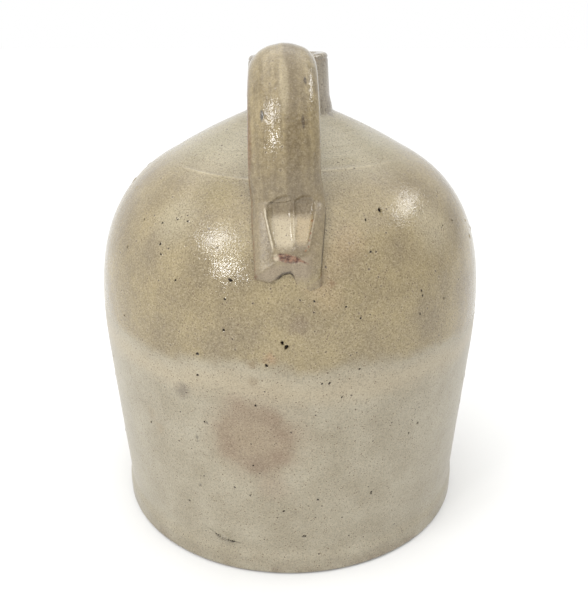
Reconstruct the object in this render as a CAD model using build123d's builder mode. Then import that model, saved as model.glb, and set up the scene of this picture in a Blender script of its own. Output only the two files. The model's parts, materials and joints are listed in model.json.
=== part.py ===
from build123d import *
import os
from math import atan2, cos, radians, sin, tan

# Stoneware crock jug: six pieces of clay luted together with slip before firing.
# Millimetres, +Z up, origin at the middle of the underside, handle on the -Y side.

# Clay wall and joints
wall = 9.0                      # thickness of the thrown walls
slip = 0.8                      # thickness of the slip in every joint
lap = 8.0                       # overlap of the two rebated joints

# Foot slab
foot_thickness = 9.0
foot_overhang = 1.8             # how far the slab stands proud of the wall
foot_edge_radius = 3.0          # round of the edge that it stands on
foot_lip_radius = 1.5           # round of the edge that shows below the wall

# Lower wall, straight and a little wider at the top
wall_foot_diameter = 228.0      # outside, where it stands on the slab
wall_rim_diameter = 241.6       # outside, where the shoulder begins
wall_height = 106.2

# Shoulder dome
ring_diameter = 144.0           # outside, at the ring where the cap sits
dome_height = 117.4
girth_pull_length = 61.0        # how far the curve keeps to the wall's line
crown_pull_length = 45.0        # how far the curve keeps to the cap's slope

# Cap
cap_rise = 22.8                 # from the ring up to the neck's seat
cap_bulge_height = 1.0          # how much the cap swells above a plain cone

# Neck collar
neck_foot_diameter = 51.6
neck_rim_diameter = 47.4
neck_height = 32.2
mouth_diameter = 30.0
lip_radius = 2.0
spigot_wall = 4.6               # wall of the spigot that stands in the cap's hole

# Path of the strap handle
crest_rise = 8.3                # top of the strap above the rim
crest_reach = 54.0              # top of the strap from the jug's axis
front_reach = 102.0             # front of the strap from the jug's axis
front_drop = 60.0               # front of the strap below its top
root_drop = 19.0                # middle of the strap's root below the rim
root_slope = 35.0               # degrees that the strap climbs as it leaves the neck
landing_offset = 2.2            # where the strap lands, outside the middle of its front
foot_length = 35.5              # length of strap that lies on the dome
foot_seat_height = 1.0          # strap's widest line above the dome

# Section of the strap along the way: width, swell of its outer face, swell of its inner face
root_width, root_crown, root_belly = 41.0, 10.5, 7.0
crest_width, crest_crown, crest_belly = 35.0, 13.0, 4.5
front_width, front_crown, front_belly = 36.0, 10.0, 4.5
landing_width, landing_crown, landing_belly = 36.5, 8.5, 6.0
end_width, end_crown, end_belly = 33.0, 4.0, 6.0

# Lean of the strap along the way: how far it stands to the left of its lower end
root_lean_offset = 2.2
crest_lean_offset = 3.7
front_lean_offset = 3.3
landing_lean_offset = 1.9

# Two fingertip marks pressed into the strap's foot
finger_width = 12.0
finger_depth = 3.0
finger_length = 27.0            # length of a mark along the strap
finger_spacing = 10.6           # middle of one mark to the middle of the other
finger_shift_offset = 1.1       # middle of the pair to the right of the jug's axis
finger_splay = 5.0              # degrees that each mark turns towards the other, going down
finger_tilt = 5.0               # degrees that the marks rise out of the strap, going down

# Heights, stacked from the ground up
wall_base = foot_thickness + slip
girth_seam = wall_base + wall_height
dome_base = girth_seam + slip
ring_height = dome_base + dome_height
neck_seat = ring_height + cap_rise
neck_base = neck_seat + slip
rim_height = neck_base + neck_height
crest_height = rim_height + crest_rise

# Radii
wall_foot_radius = wall_foot_diameter / 2
wall_rim_radius = wall_rim_diameter / 2
foot_radius = wall_foot_radius + foot_overhang
ring_radius = ring_diameter / 2
neck_foot_radius = neck_foot_diameter / 2
neck_rim_radius = neck_rim_diameter / 2
mouth_radius = mouth_diameter / 2
spigot_radius = mouth_radius + spigot_wall
hole_radius = spigot_radius + slip
reach = foot_radius + wall_rim_radius      # wider than any piece of the jug

# Wall and cap in section: how steep they are, their direction uphill and their outward normal
wall_angle = atan2(wall_height, wall_rim_radius - wall_foot_radius)
wall_run = Vector(cos(wall_angle), sin(wall_angle))
wall_normal = Vector(sin(wall_angle), -cos(wall_angle))
cap_angle = atan2(cap_rise, ring_radius - neck_foot_radius)
cap_run = Vector(-cos(cap_angle), sin(cap_angle))
cap_normal = Vector(sin(cap_angle), cos(cap_angle))

# Corners of the outside
wall_foot_point = Vector(wall_foot_radius, wall_base)
dome_foot_point = wall_foot_point + wall_run * ((dome_base - wall_base) / sin(wall_angle))
ring_point = Vector(ring_radius, ring_height)
seat_point = Vector(neck_foot_radius, neck_seat)

# Steps of the rebated joints, on the middle of the wall, and lower end of the neck's spigot
girth_step = wall_rim_radius - wall / 2
ring_step = ring_radius - lap
ring_ledge = ring_height + tan(cap_angle) * lap / 2 - wall / cos(cap_angle) / 2
spigot_base = neck_seat + tan(cap_angle) * (neck_foot_radius - hole_radius) - wall / cos(cap_angle)

# How finely the free curves are drawn
dome_spans = 8
strap_spans = 24

os.makedirs("parts", exist_ok=True)

# Outside of the dome, from the wall up to the ring
with BuildLine() as dome_guide:
    Bezier(
        dome_foot_point,
        dome_foot_point + wall_run * girth_pull_length,
        ring_point - cap_run * crown_pull_length,
        ring_point,
    )
dome_edge = dome_guide.edges()[0]


def dome_point(share, depth):
    """Point at a share of the dome's line, a depth below the outside."""
    uphill = dome_edge % share
    return dome_edge @ share - Vector(uphill.Y, -uphill.X) * depth


def clay_line(depth):
    """Line from below the wall's foot to above the neck's seat, a depth below the outside."""
    foot = wall_foot_point - wall_run * wall - wall_normal * depth
    seat = seat_point - cap_normal * depth
    top = seat + cap_run * neck_foot_radius
    dome = [dome_point(i / dome_spans, depth) for i in range(dome_spans + 1)]
    Line(foot, dome[0])
    Spline(dome, tangents=[wall_run, cap_run])
    ThreePointArc(dome[-1], (dome[-1] + seat) / 2 + cap_normal * cap_bulge_height, seat)
    Line(seat, top)
    return foot, top


def band(inner, outer, low, high):
    """Rectangle in a section sketch, between two radii and two heights."""
    with Locations(((inner + outer) / 2, (low + high) / 2)):
        Rectangle(outer - inner, high - low)


# Section of the whole clay wall, cut level at the slab and at the neck's seat
with BuildSketch(Plane.XZ) as clay_section:
    with BuildLine():
        outer_foot, outer_top = clay_line(0)
        inner_foot, inner_top = clay_line(wall)
        Line(outer_foot, inner_foot)
        Line(outer_top, inner_top)
    make_face()
    with BuildSketch(Plane.XZ, mode=Mode.INTERSECT):
        band(hole_radius, reach, wall_base, neck_seat)

# Foot slab
with BuildPart() as foot_slab:
    Cylinder(foot_radius, foot_thickness, align=(Align.CENTER, Align.CENTER, Align.MIN))
    fillet(foot_slab.faces().sort_by(Axis.Z)[0].edges(), min(foot_edge_radius, foot_thickness / 2))
    fillet(foot_slab.faces().sort_by(Axis.Z)[-1].edges(), min(foot_lip_radius, foot_overhang))
foot_slab.part.label = "foot_slab"
export_step(foot_slab.part, "parts/foot_slab.step")

# Slip between the slab and the wall, as wide as the wall's foot
with BuildPart() as foot_slip_joint:
    with BuildSketch(Plane.XY.offset(foot_thickness)):
        Circle(wall_foot_radius)
        Circle(wall_foot_radius - wall / sin(wall_angle), mode=Mode.SUBTRACT)
    extrude(amount=slip)
foot_slip_joint.part.label = "foot_slip_joint"
export_step(foot_slip_joint.part, "parts/foot_slip_joint.step")

# Lower wall, with a tongue round the inside of its rim
with BuildPart() as lower_wall:
    with BuildSketch(Plane.XZ):
        add(clay_section.sketch)
        with BuildSketch(Plane.XZ, mode=Mode.INTERSECT):
            band(0, reach, wall_base, girth_seam)
            band(0, girth_step, girth_seam, girth_seam + lap)
    revolve(axis=Axis.Z)
lower_wall.part.label = "lower_wall"
export_step(lower_wall.part, "parts/lower_wall.step")

# Slip in the stepped joint between the wall and the dome
with BuildPart() as girth_slip_joint:
    with BuildSketch(Plane.XZ):
        add(clay_section.sketch)
        with BuildSketch(Plane.XZ, mode=Mode.INTERSECT):
            band(girth_step, reach, girth_seam, dome_base)
            band(girth_step, girth_step + slip, girth_seam, dome_base + lap)
            band(0, girth_step + slip, girth_seam + lap, dome_base + lap)
    revolve(axis=Axis.Z)
girth_slip_joint.part.label = "girth_slip_joint"
export_step(girth_slip_joint.part, "parts/girth_slip_joint.step")

# Shoulder dome, with a skirt round the wall's tongue and a ledge under the cap
with BuildPart() as shoulder_dome:
    with BuildSketch(Plane.XZ):
        add(clay_section.sketch)
        with BuildSketch(Plane.XZ, mode=Mode.INTERSECT):
            band(girth_step + slip, reach, dome_base, dome_base + lap)
            band(ring_radius, reach, dome_base + lap, neck_seat)
            band(ring_step, ring_radius, dome_base + lap, ring_ledge)
    revolve(axis=Axis.Z)
shoulder_dome.part.label = "shoulder_dome"
export_step(shoulder_dome.part, "parts/shoulder_dome.step")

# Slip in the stepped joint between the dome and the cap
with BuildPart() as ring_slip_joint:
    with BuildSketch(Plane.XZ):
        add(clay_section.sketch)
        with BuildSketch(Plane.XZ, mode=Mode.INTERSECT):
            band(ring_radius - slip, ring_radius, ring_ledge, neck_seat)
            band(ring_step - slip, ring_radius, ring_ledge, ring_ledge + slip)
            band(ring_step - slip, ring_step, dome_base, ring_ledge + slip)
    revolve(axis=Axis.Z)
ring_slip_joint.part.label = "ring_slip_joint"
export_step(ring_slip_joint.part, "parts/ring_slip_joint.step")

# Shoulder cap, with a thin rim that lies on the dome's ledge
with BuildPart() as shoulder_cap:
    with BuildSketch(Plane.XZ):
        add(clay_section.sketch)
        with BuildSketch(Plane.XZ, mode=Mode.INTERSECT):
            band(hole_radius, ring_step - slip, dome_base, neck_seat)
            band(hole_radius, ring_radius - slip, ring_ledge + slip, neck_seat)
    revolve(axis=Axis.Z)
shoulder_cap.part.label = "shoulder_cap"
export_step(shoulder_cap.part, "parts/shoulder_cap.step")

# Slip under the neck's foot and round its spigot
with BuildPart() as neck_slip_joint:
    with BuildSketch(Plane.XZ):
        band(spigot_radius, neck_foot_radius, neck_seat, neck_base)
        band(spigot_radius, hole_radius, spigot_base, neck_seat)
    revolve(axis=Axis.Z)
neck_slip_joint.part.label = "neck_slip_joint"
export_step(neck_slip_joint.part, "parts/neck_slip_joint.step")

# Neck collar, with its spigot and a rounded lip
with BuildPart() as neck_collar:
    with BuildSketch(Plane.XZ):
        with BuildLine():
            Polyline(
                (mouth_radius, spigot_base),
                (spigot_radius, spigot_base),
                (spigot_radius, neck_base),
                (neck_foot_radius, neck_base),
                (neck_rim_radius, rim_height),
                (mouth_radius, rim_height),
                close=True,
            )
        make_face()
    revolve(axis=Axis.Z)
    rim_wall = neck_rim_radius - mouth_radius
    fillet(neck_collar.faces().sort_by(Axis.Z)[-1].edges(), min(lip_radius, rim_wall / 3))
neck_collar.part.label = "neck_collar"
export_step(neck_collar.part, "parts/neck_collar.step")


# Spot on the dome's line where the strap lands
landing_reach = front_reach - front_crown + landing_offset
landing_spot = dome_edge.find_intersection_points(Axis((landing_reach, 0, 0), (0, 1, 0)))[0]


def on_dome(run, height):
    """Point at a height over the dome's front, a run below the landing, and the way downhill."""
    share = dome_edge.param_at_point(landing_spot) - run / dome_edge.length
    spot = dome_edge @ share
    uphill = dome_edge % share
    outward = Vector(0, -uphill.Y, -uphill.X)
    downhill = Vector(0, uphill.X, -uphill.Y)
    return Vector(0, -spot.X, spot.Y) + outward * height, downhill


# Middle line of the strap, from inside the neck over the crest and down on to the dome
root_way = Vector(0, -cos(radians(root_slope)), sin(radians(root_slope)))
root_point = Vector(-root_lean_offset, -neck_foot_radius, rim_height - root_drop)
landing_point, landing_way = on_dome(0, foot_seat_height)
end_point, end_way = on_dome(foot_length, foot_seat_height)
strap_points = [
    root_point - root_way * spigot_radius,
    Vector(-crest_lean_offset, -crest_reach, crest_height - crest_crown),
    Vector(-front_lean_offset, front_crown - front_reach, crest_height - front_drop),
    landing_point - Vector(landing_lean_offset, 0, 0),
    end_point,
]
strap_ways = [root_way, (0, -1, 0), (0, 0, -1), landing_way, end_way]
strap_sections = [
    (root_width, root_crown, root_belly),
    (crest_width, crest_crown, crest_belly),
    (front_width, front_crown, front_belly),
    (landing_width, landing_crown, landing_belly),
    (end_width, end_crown, end_belly),
]
with BuildLine() as strap_guide:
    Spline(strap_points, tangents=strap_ways)
strap_path = strap_guide.edges()[0]


def strap_section(place):
    """Section at a place on the path, worked out between the path's points."""
    places = [strap_path.param_at_point(point) for point in strap_points]
    i = max(k for k in range(len(places) - 1) if places[k] <= place)
    share = (place - places[i]) / (places[i + 1] - places[i])
    return [a + (b - a) * share for a, b in zip(strap_sections[i], strap_sections[i + 1])]


# Strap as it was pulled, still running on into the neck and the dome
with BuildPart() as pulled_strap:
    for step in range(strap_spans + 1):
        place = step / strap_spans
        width, crown, belly = strap_section(place)
        with BuildSketch(Plane(strap_path @ place, x_dir=(1, 0, 0), z_dir=strap_path % place)):
            with BuildLine():
                EllipticalCenterArc((0, 0), width / 2, crown, 0, arc_size=180)
                EllipticalCenterArc((0, 0), width / 2, belly, 180, arc_size=180)
            make_face()
    loft(ruled=True)


def jug_face(extra):
    """Half section of wall, dome, cap and neck as one block, bigger all round by extra."""
    with BuildSketch(Plane.XZ) as block:
        with BuildLine():
            foot, top = clay_line(-extra)
            Polyline(top, (0, top.Y), (0, foot.Y), foot)
        make_face()
        with BuildLine():
            Polyline(
                (0, neck_seat),
                (neck_foot_radius + extra, neck_seat),
                (neck_foot_radius + extra, neck_base),
                (neck_rim_radius + extra, rim_height),
                (0, rim_height),
                close=True,
            )
        make_face()
    return block.sketch


# Slip that the strap is bedded in, on the dome and on the neck
with BuildPart() as strap_bed:
    add(pulled_strap.part)
    revolve(jug_face(slip), axis=Axis.Z, mode=Mode.INTERSECT)
    revolve(jug_face(0), axis=Axis.Z, mode=Mode.SUBTRACT)
foot_pad, root_pad = strap_bed.solids().sort_by(Axis.Z)

with BuildPart() as handle_foot_slip:
    add(foot_pad)
handle_foot_slip.part.label = "handle_foot_slip"
export_step(handle_foot_slip.part, "parts/handle_foot_slip.step")

with BuildPart() as handle_root_slip:
    add(root_pad)
handle_root_slip.part.label = "handle_root_slip"
export_step(handle_root_slip.part, "parts/handle_root_slip.step")

# Strap handle, cut to its seats and pressed in by two fingertips
strap_top = foot_seat_height + (landing_crown + end_crown) / 2
mark_height = strap_top - finger_depth + finger_width / 2
mark_point, mark_way = on_dome(finger_length / 2, mark_height)
mark_straight = finger_length - finger_width
with BuildPart() as strap_handle:
    add(pulled_strap.part)
    revolve(jug_face(slip), axis=Axis.Z, mode=Mode.SUBTRACT)
    for side in (-1, 1):
        middle = mark_point + Vector(finger_shift_offset + side * finger_spacing / 2, 0, 0)
        mark = Plane(middle, x_dir=(1, 0, 0), z_dir=mark_way)
        with Locations(mark.rotated((-finger_tilt, -side * finger_splay, 0))):
            Cylinder(finger_width / 2, mark_straight, mode=Mode.SUBTRACT)
            with Locations((0, 0, -mark_straight / 2), (0, 0, mark_straight / 2)):
                Sphere(finger_width / 2, mode=Mode.SUBTRACT)
strap_handle.part.label = "strap_handle"
export_step(strap_handle.part, "parts/strap_handle.step")
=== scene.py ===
import json
from math import cos, pi, radians, sin, tan
import bmesh
import bpy
import numpy as np
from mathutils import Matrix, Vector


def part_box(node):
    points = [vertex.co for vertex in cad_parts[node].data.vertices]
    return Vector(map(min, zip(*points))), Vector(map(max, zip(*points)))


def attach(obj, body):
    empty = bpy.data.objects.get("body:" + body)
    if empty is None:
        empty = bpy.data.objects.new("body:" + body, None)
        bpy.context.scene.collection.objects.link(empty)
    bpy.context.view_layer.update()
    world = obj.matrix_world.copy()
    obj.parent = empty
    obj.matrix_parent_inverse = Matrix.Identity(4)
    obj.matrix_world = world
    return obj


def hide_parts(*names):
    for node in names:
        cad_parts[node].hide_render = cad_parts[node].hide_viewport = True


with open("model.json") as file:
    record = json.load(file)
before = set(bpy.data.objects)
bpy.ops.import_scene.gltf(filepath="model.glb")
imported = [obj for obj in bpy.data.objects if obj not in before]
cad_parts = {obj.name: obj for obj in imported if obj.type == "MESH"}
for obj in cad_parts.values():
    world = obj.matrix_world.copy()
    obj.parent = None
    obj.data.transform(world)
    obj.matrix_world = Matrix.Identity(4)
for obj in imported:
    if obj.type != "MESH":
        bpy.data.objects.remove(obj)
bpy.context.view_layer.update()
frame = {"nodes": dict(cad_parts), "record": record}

# Stoneware crock jug: thrown pieces luted together, under one pitted clear glaze.
# Sizes are in millimetres. The frame is in metres, +Z up, with the handle on the -Y side.
MM = 0.001


def corner(node, high, axis):
    """One coordinate of a CAD node's lowest (0) or highest (1) corner, in millimetres."""
    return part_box(node)[high]["xyz".index(axis)] / MM


# Sizes of the jug, read from the frame
foot_radius = corner("foot_slab", 1, "x")
foot_top = corner("foot_slab", 1, "z")
wall_foot_radius = corner("foot_slip_joint", 1, "x")
wall_base = corner("foot_slip_joint", 1, "z")
wall_rim_radius = corner("lower_wall", 1, "x")
girth_seam = corner("girth_slip_joint", 0, "z")
dome_base = corner("shoulder_dome", 0, "z")
ring_radius = corner("ring_slip_joint", 1, "x")
ring_height = corner("shoulder_dome", 1, "z")
neck_foot_radius = corner("neck_slip_joint", 1, "x")
neck_seat = corner("shoulder_cap", 1, "z")
neck_base = corner("neck_slip_joint", 1, "z")
spigot_base = corner("neck_collar", 0, "z")
rim_height = corner("neck_collar", 1, "z")
tongue_top = corner("lower_wall", 1, "z")
crest_height = corner("strap_handle", 1, "z")
mouth_radius = next(m for m in frame["record"]["mounts"] if m["name"] == "mouth")["dims"]["r_mm"]

# Sizes of the jug that the frame's boxes don't give
slip = wall_base - foot_top
lap = tongue_top - girth_seam
wall = 9.0
glaze = 0.25                    # thickness of the glaze, which hides the joints under it
girth_pull = 61.0               # how far the dome's curve keeps to the wall's line
crown_pull = 45.0               # how far the dome's curve keeps to the cap's slope
cap_bulge = 1.0
neck_rim_radius = 23.7
neck_fillet = 3.2               # clay smoothed into the corner at the neck's foot
fillet_sink = 0.1               # how far its lower end stands in the cap
lip_band = 2.7                  # height of the band below the rim
lip_proud = 0.15
lip_groove = 0.1                # depth of the groove below the band, and half the height of its step
lip_step = 0.3
lip_radius = 2.4
neck_lean = 1.2                 # how far the neck's outside leans to the left of its bore
rim_slant = 2.5                 # degrees that the rim is out of level, right side up
lean_run = (2.0, 10.0)          # heights over the neck's seat between which the lean sets in
slant_start = 6.0               # height over the neck's seat from which the slant is felt
bore_margin = 1.0               # width of clay that stays with the bore, and with the neck's skin
skin_margin = 2.0
spigot_wall = 4.6
foot_edge_radius = 2.6
foot_cove = 8.0                 # height over which the wall flares to the slab
wiped_width = 5.0               # width of the foot's underside that the glaze ran onto

# Fineness of the thrown pieces
turn_steps = 720
skin_step = 1.7                 # between rows on the outside
ridge_step = 0.6                # between rows near the ring on the shoulder
hidden_step = 8.0               # between rows on the inside
outline_steps = 120             # along the wall, the dome and the cap, before rows are set
fine_below = 10.0               # width of the fine rows below and above the ring
fine_above = 4.0
row_gap = 0.1                   # between the glazed and the bare rows of the underside
foot_rows = 5                   # up the foot's edge
fillet_rows = 9
neck_rows = 20
merge_distance = 0.01           # within which the points of a seam are one
crisp_angle = 35.0              # degrees from which an edge is sharp


def add(tree, kind, inputs=None, **settings):
    """Adds a node of a kind, which is a shader node's where it names no family. Settings are its own,
    and inputs are values, sockets or nodes by socket name or number."""
    node = tree.nodes.new(kind if "Node" in kind else "ShaderNode" + kind)
    for name, value in settings.items():
        setattr(node, name, value)
    for key, value in (inputs or {}).items():
        if isinstance(value, bpy.types.Node):
            value = next(socket for socket in value.outputs if socket.enabled)
        if isinstance(value, bpy.types.NodeSocket):
            tree.links.new(value, node.inputs[key])
        else:
            node.inputs[key].default_value = value
    return node


def linear(code):
    """An sRGB hex colour as linear RGBA."""
    channels = [int(code[i:i + 2], 16) / 255 for i in (1, 3, 5)]
    return [c / 12.92 if c <= 0.04045 else ((c + 0.055) / 1.055) ** 2.4 for c in channels] + [1.0]


# Section of the clay wall

wall_foot_point = np.array([wall_foot_radius, wall_base])
wall_run = np.array([wall_rim_radius - wall_foot_radius, girth_seam - wall_base])
wall_run /= np.hypot(*wall_run)
dome_foot_point = wall_foot_point + wall_run * (dome_base - wall_base) / wall_run[1]
ring_point = np.array([ring_radius, ring_height])
seat_point = np.array([neck_foot_radius, neck_seat])
cap_run = (seat_point - ring_point) / np.hypot(*(seat_point - ring_point))
cap_normal = np.array([cap_run[1], -cap_run[0]])
girth_step = wall_rim_radius - wall / 2
ring_step = ring_radius - lap
cap_slope = -cap_run[1] / cap_run[0]
ring_ledge = ring_height + cap_slope * lap / 2 + wall / cap_run[0] / 2
hole_radius = mouth_radius + spigot_wall + slip


def outside_line():
    """Section of wall, dome and cap from the foot up to the neck's seat, and its outward normals."""
    share = np.linspace(0, 1, outline_steps + 1)[:, None]
    wall_part = wall_foot_point + (dome_foot_point - wall_foot_point) * share
    girth_handle = dome_foot_point + wall_run * girth_pull
    crown_handle = ring_point - cap_run * crown_pull
    dome_part = (
        (1 - share) ** 3 * dome_foot_point + 3 * share * (1 - share) ** 2 * girth_handle
        + 3 * share ** 2 * (1 - share) * crown_handle + share ** 3 * ring_point
    )
    bulge = cap_normal * 4 * cap_bulge * share * (1 - share)
    cap_part = ring_point + (seat_point - ring_point) * share + bulge
    line = np.vstack([wall_part, dome_part[1:], cap_part[1:]])
    way = np.gradient(line, axis=0)
    way /= np.hypot(way[:, 0], way[:, 1])[:, None]
    return line, np.stack([way[:, 1], -way[:, 0]], 1)


jug_line, jug_normals = outside_line()


def stretch(depth, low, high, step):
    """Rows of the wall's section between two heights, at a depth below the outside."""
    line = jug_line - jug_normals * depth
    along = np.concatenate([[0], np.cumsum(np.hypot(*np.diff(line, axis=0).T))])
    ends = np.interp([low, high], line[:, 1], along)
    places = np.linspace(*ends, round((ends[1] - ends[0]) / step) + 1)
    return [(np.interp(p, along, line[:, 0]), np.interp(p, along, line[:, 1])) for p in places]


def height_at(radius, depth):
    """Height of the dome or cap at a radius, at a depth below the outside."""
    line = (jug_line - jug_normals * depth)[::-1]
    upper = line[:, 1] > girth_seam + lap
    return float(np.interp(radius, line[upper, 0], line[upper, 1]))


def rounded(corner_point, before, after, radius, steps=6):
    """Points of a round at a square corner of a section, between two directions."""
    before, after = np.array(before) * radius, np.array(after) * radius
    middle = np.array(corner_point) + before + after
    turn = np.linspace(0, pi / 2, steps)[:, None]
    return [tuple(p) for p in middle - after * np.cos(turn) - before * np.sin(turn)]


# Wheel: a Geometry Nodes tree that turns a section into a thrown piece

spiral_power = 3.0              # how late in the turn the ridge's spiral opens
dip_width_share = 0.7           # width of the dip beside the ridge, as a share of its distance


def wheel_tree():
    """Turns the section once round, lets it run out of true and marks it with throwing rings."""
    tree = bpy.data.node_groups.new("thrown_on_the_wheel", "GeometryNodeTree")
    face = tree.interface
    face.new_socket("Geometry", in_out="OUTPUT", socket_type="NodeSocketGeometry")
    kinds = {
        "Section": "Geometry", "Turn Steps": "Int", "Ring Drift": "Vector",
        "Glaze": "Material", "Lining": "Material",
    }
    for name in (
        "Section", "Turn Steps", "Wheel Radius", "Wobble", "Wobble Size", "Ring Depth", "Ring Spacing",
        "Ring Drift", "Ridge Radius", "Ridge Climb", "Ridge Height", "Ridge Width", "Ridge Front",
        "Dip Share", "Dip Offset", "Patch Size", "Seed", "Glaze", "Lining",
    ):
        face.new_socket(name, in_out="INPUT", socket_type="NodeSocket" + kinds.get(name, "Float"))
    given = add(tree, "NodeGroupInput").outputs
    section = add(tree, "GeometryNodeMeshToCurve", {0: given["Section"]})
    inward = add(tree, "Math", {0: given["Wheel Radius"], 1: -1.0}, operation="MULTIPLY")
    shift = add(tree, "CombineXYZ", {"X": inward})
    placed = add(tree, "GeometryNodeTransform", {"Geometry": section, "Translation": shift})
    circle = add(tree, "GeometryNodeCurvePrimitiveCircle",
                 {"Resolution": given["Turn Steps"], "Radius": given["Wheel Radius"]})
    upright = add(tree, "GeometryNodeSetCurveNormal", {"Curve": circle}, mode="Z_UP")
    turned = add(tree, "GeometryNodeCurveToMesh", {"Curve": upright, "Profile Curve": placed})
    closed = add(tree, "GeometryNodeMergeByDistance", {"Geometry": turned, "Distance": merge_distance * MM})
    # Out of true: the whole wall leans in and out a little as it goes round
    place = add(tree, "GeometryNodeInputPosition")
    parts = add(tree, "SeparateXYZ", {0: place}).outputs
    level = add(tree, "CombineXYZ", {"X": parts["X"], "Y": parts["Y"]})
    outward = add(tree, "VectorMath", {0: level}, operation="NORMALIZE")
    radius = add(tree, "VectorMath", {0: level}, operation="LENGTH").outputs["Value"]
    wobble_scale = add(tree, "Math", {0: 1.0, 1: given["Wobble Size"]}, operation="DIVIDE")
    slow = add(tree, "TexNoise", {
        "Vector": place, "W": given["Seed"], "Scale": wobble_scale, "Detail": 1.0,
    }, noise_dimensions="4D")
    slow_sway = add(tree, "Math", {0: slow, 1: -0.5}, operation="ADD")
    sway = add(tree, "Math", {0: slow_sway, 1: given["Wobble"]}, operation="MULTIPLY")
    # Throwing rings: fine level bands, which a finger leaves on the turning clay
    flat = add(tree, "VectorMath", {0: place, 1: given["Ring Drift"]}, operation="MULTIPLY")
    ring_scale = add(tree, "Math", {0: 1.0, 1: given["Ring Spacing"]}, operation="DIVIDE")
    bands = add(tree, "TexNoise", {
        "Vector": flat, "W": given["Seed"], "Scale": ring_scale, "Detail": 2.0,
    }, noise_dimensions="4D")
    bands_even = add(tree, "Math", {0: bands, 1: -0.5}, operation="ADD")
    rings = add(tree, "Math", {0: bands_even, 1: given["Ring Depth"]}, operation="MULTIPLY")
    # Ridge where the cap was luted to the dome, with a dip inside it. It widens as a spiral that starts
    # and ends under the handle, and it is plainest at the front
    back = add(tree, "Math", {0: parts["Y"], 1: -1.0}, operation="MULTIPLY")
    azimuth = add(tree, "Math", {0: parts["X"], 1: back}, operation="ARCTAN2")
    turns = add(tree, "Math", {0: azimuth, 1: 2 * pi}, operation="DIVIDE")
    turn = add(tree, "Math", {0: turns}, operation="FRACT")
    opening = add(tree, "Math", {0: turn, 1: spiral_power}, operation="POWER")
    ridge_way = add(tree, "Math", {
        0: opening, 1: given["Ridge Climb"], 2: given["Ridge Radius"],
    }, operation="MULTIPLY_ADD")
    ridge_off = add(tree, "Math", {0: radius, 1: ridge_way}, operation="SUBTRACT")
    dip_off = add(tree, "Math", {0: ridge_off, 1: given["Dip Offset"]}, operation="ADD")
    dip_width = add(tree, "Math", {0: given["Dip Offset"], 1: dip_width_share}, operation="MULTIPLY")
    bells = []
    for off, width in ((ridge_off, given["Ridge Width"]), (dip_off, dip_width)):
        way = add(tree, "Math", {0: off, 1: width}, operation="DIVIDE")
        square = add(tree, "Math", {0: way, 1: way}, operation="MULTIPLY")
        fall = add(tree, "Math", {0: square, 1: -1.0}, operation="MULTIPLY")
        bells.append(add(tree, "Math", {0: fall}, operation="EXPONENT"))
    dip = add(tree, "Math", {0: bells[1], 1: given["Dip Share"]}, operation="MULTIPLY")
    ridge_dip = add(tree, "Math", {0: bells[0], 1: dip}, operation="SUBTRACT")
    patch_scale = add(tree, "Math", {0: 1.0, 1: given["Patch Size"]}, operation="DIVIDE")
    patchy = add(tree, "TexNoise", {
        "Vector": level, "W": given["Seed"], "Scale": patch_scale, "Detail": 1.0,
    }, noise_dimensions="4D")
    patches = add(tree, "MapRange", {
        "Value": patchy, "From Min": 0.3, "From Max": 0.65, "To Min": 0.5, "To Max": 1.1,
    })
    front_share = add(tree, "Math", {0: back, 1: given["Ridge Front"]}, operation="DIVIDE")
    front = add(tree, "MapRange", {
        "Value": front_share, "From Min": 0.65, "From Max": 0.95, "To Min": 0.08, "To Max": 1.0,
    })
    plain = add(tree, "Math", {0: patches, 1: front}, operation="MULTIPLY")
    ridge_patch = add(tree, "Math", {0: ridge_dip, 1: plain}, operation="MULTIPLY")
    ridge = add(tree, "Math", {0: ridge_patch, 1: given["Ridge Height"]}, operation="MULTIPLY")
    # The ridge's share is kept as the attribute 'ridge', which the glaze paints as a pale highlight along
    # it
    ridge_highlight_mask = add(tree, "Math", {0: bells[0], 1: plain}, operation="MULTIPLY")
    tinted = add(tree, "GeometryNodeStoreNamedAttribute", {
        "Geometry": closed, "Name": "ridge", "Value": ridge_highlight_mask,
    }, data_type="FLOAT", domain="POINT")
    # Only the outside takes the rings and the ridge, square to its section
    skin, out, up = (
        add(tree, "GeometryNodeInputNamedAttribute", {"Name": name}, data_type="FLOAT")
        for name in ("skin", "out", "up")
    )
    marks = add(tree, "Math", {0: rings, 1: ridge}, operation="ADD")
    sideways = add(tree, "Math", {0: marks, 1: out, 2: sway}, operation="MULTIPLY_ADD")
    upwards = add(tree, "Math", {0: marks, 1: up}, operation="MULTIPLY")
    side_move = add(tree, "VectorMath", {0: outward, "Scale": sideways}, operation="SCALE")
    up_move = add(tree, "CombineXYZ", {"Z": upwards})
    move = add(tree, "VectorMath", {0: side_move, 1: up_move}, operation="ADD")
    thrown = add(tree, "GeometryNodeSetPosition", {"Geometry": tinted, "Offset": move})
    smooth = add(tree, "GeometryNodeSetShadeSmooth", {
        "Geometry": thrown, "Shade Smooth": True,
    }, domain="FACE")
    angle = add(tree, "GeometryNodeInputMeshEdgeAngle").outputs["Unsigned Angle"]
    crisp = add(tree, "Math", {0: angle, 1: radians(crisp_angle)}, operation="GREATER_THAN")
    edged = add(tree, "GeometryNodeSetShadeSmooth", {
        "Geometry": smooth, "Selection": crisp, "Shade Smooth": False,
    }, domain="EDGE")
    real = add(tree, "GeometryNodeRealizeInstances", {"Geometry": edged})
    glazed = add(tree, "GeometryNodeSetMaterial", {"Geometry": real, "Material": given["Glaze"]})
    inside = add(tree, "Math", {0: skin, 1: 0.5}, operation="LESS_THAN")
    lined = add(tree, "GeometryNodeSetMaterial", {
        "Geometry": glazed, "Selection": inside, "Material": given["Lining"],
    })
    add(tree, "NodeGroupOutput", {0: lined})
    return tree


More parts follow.
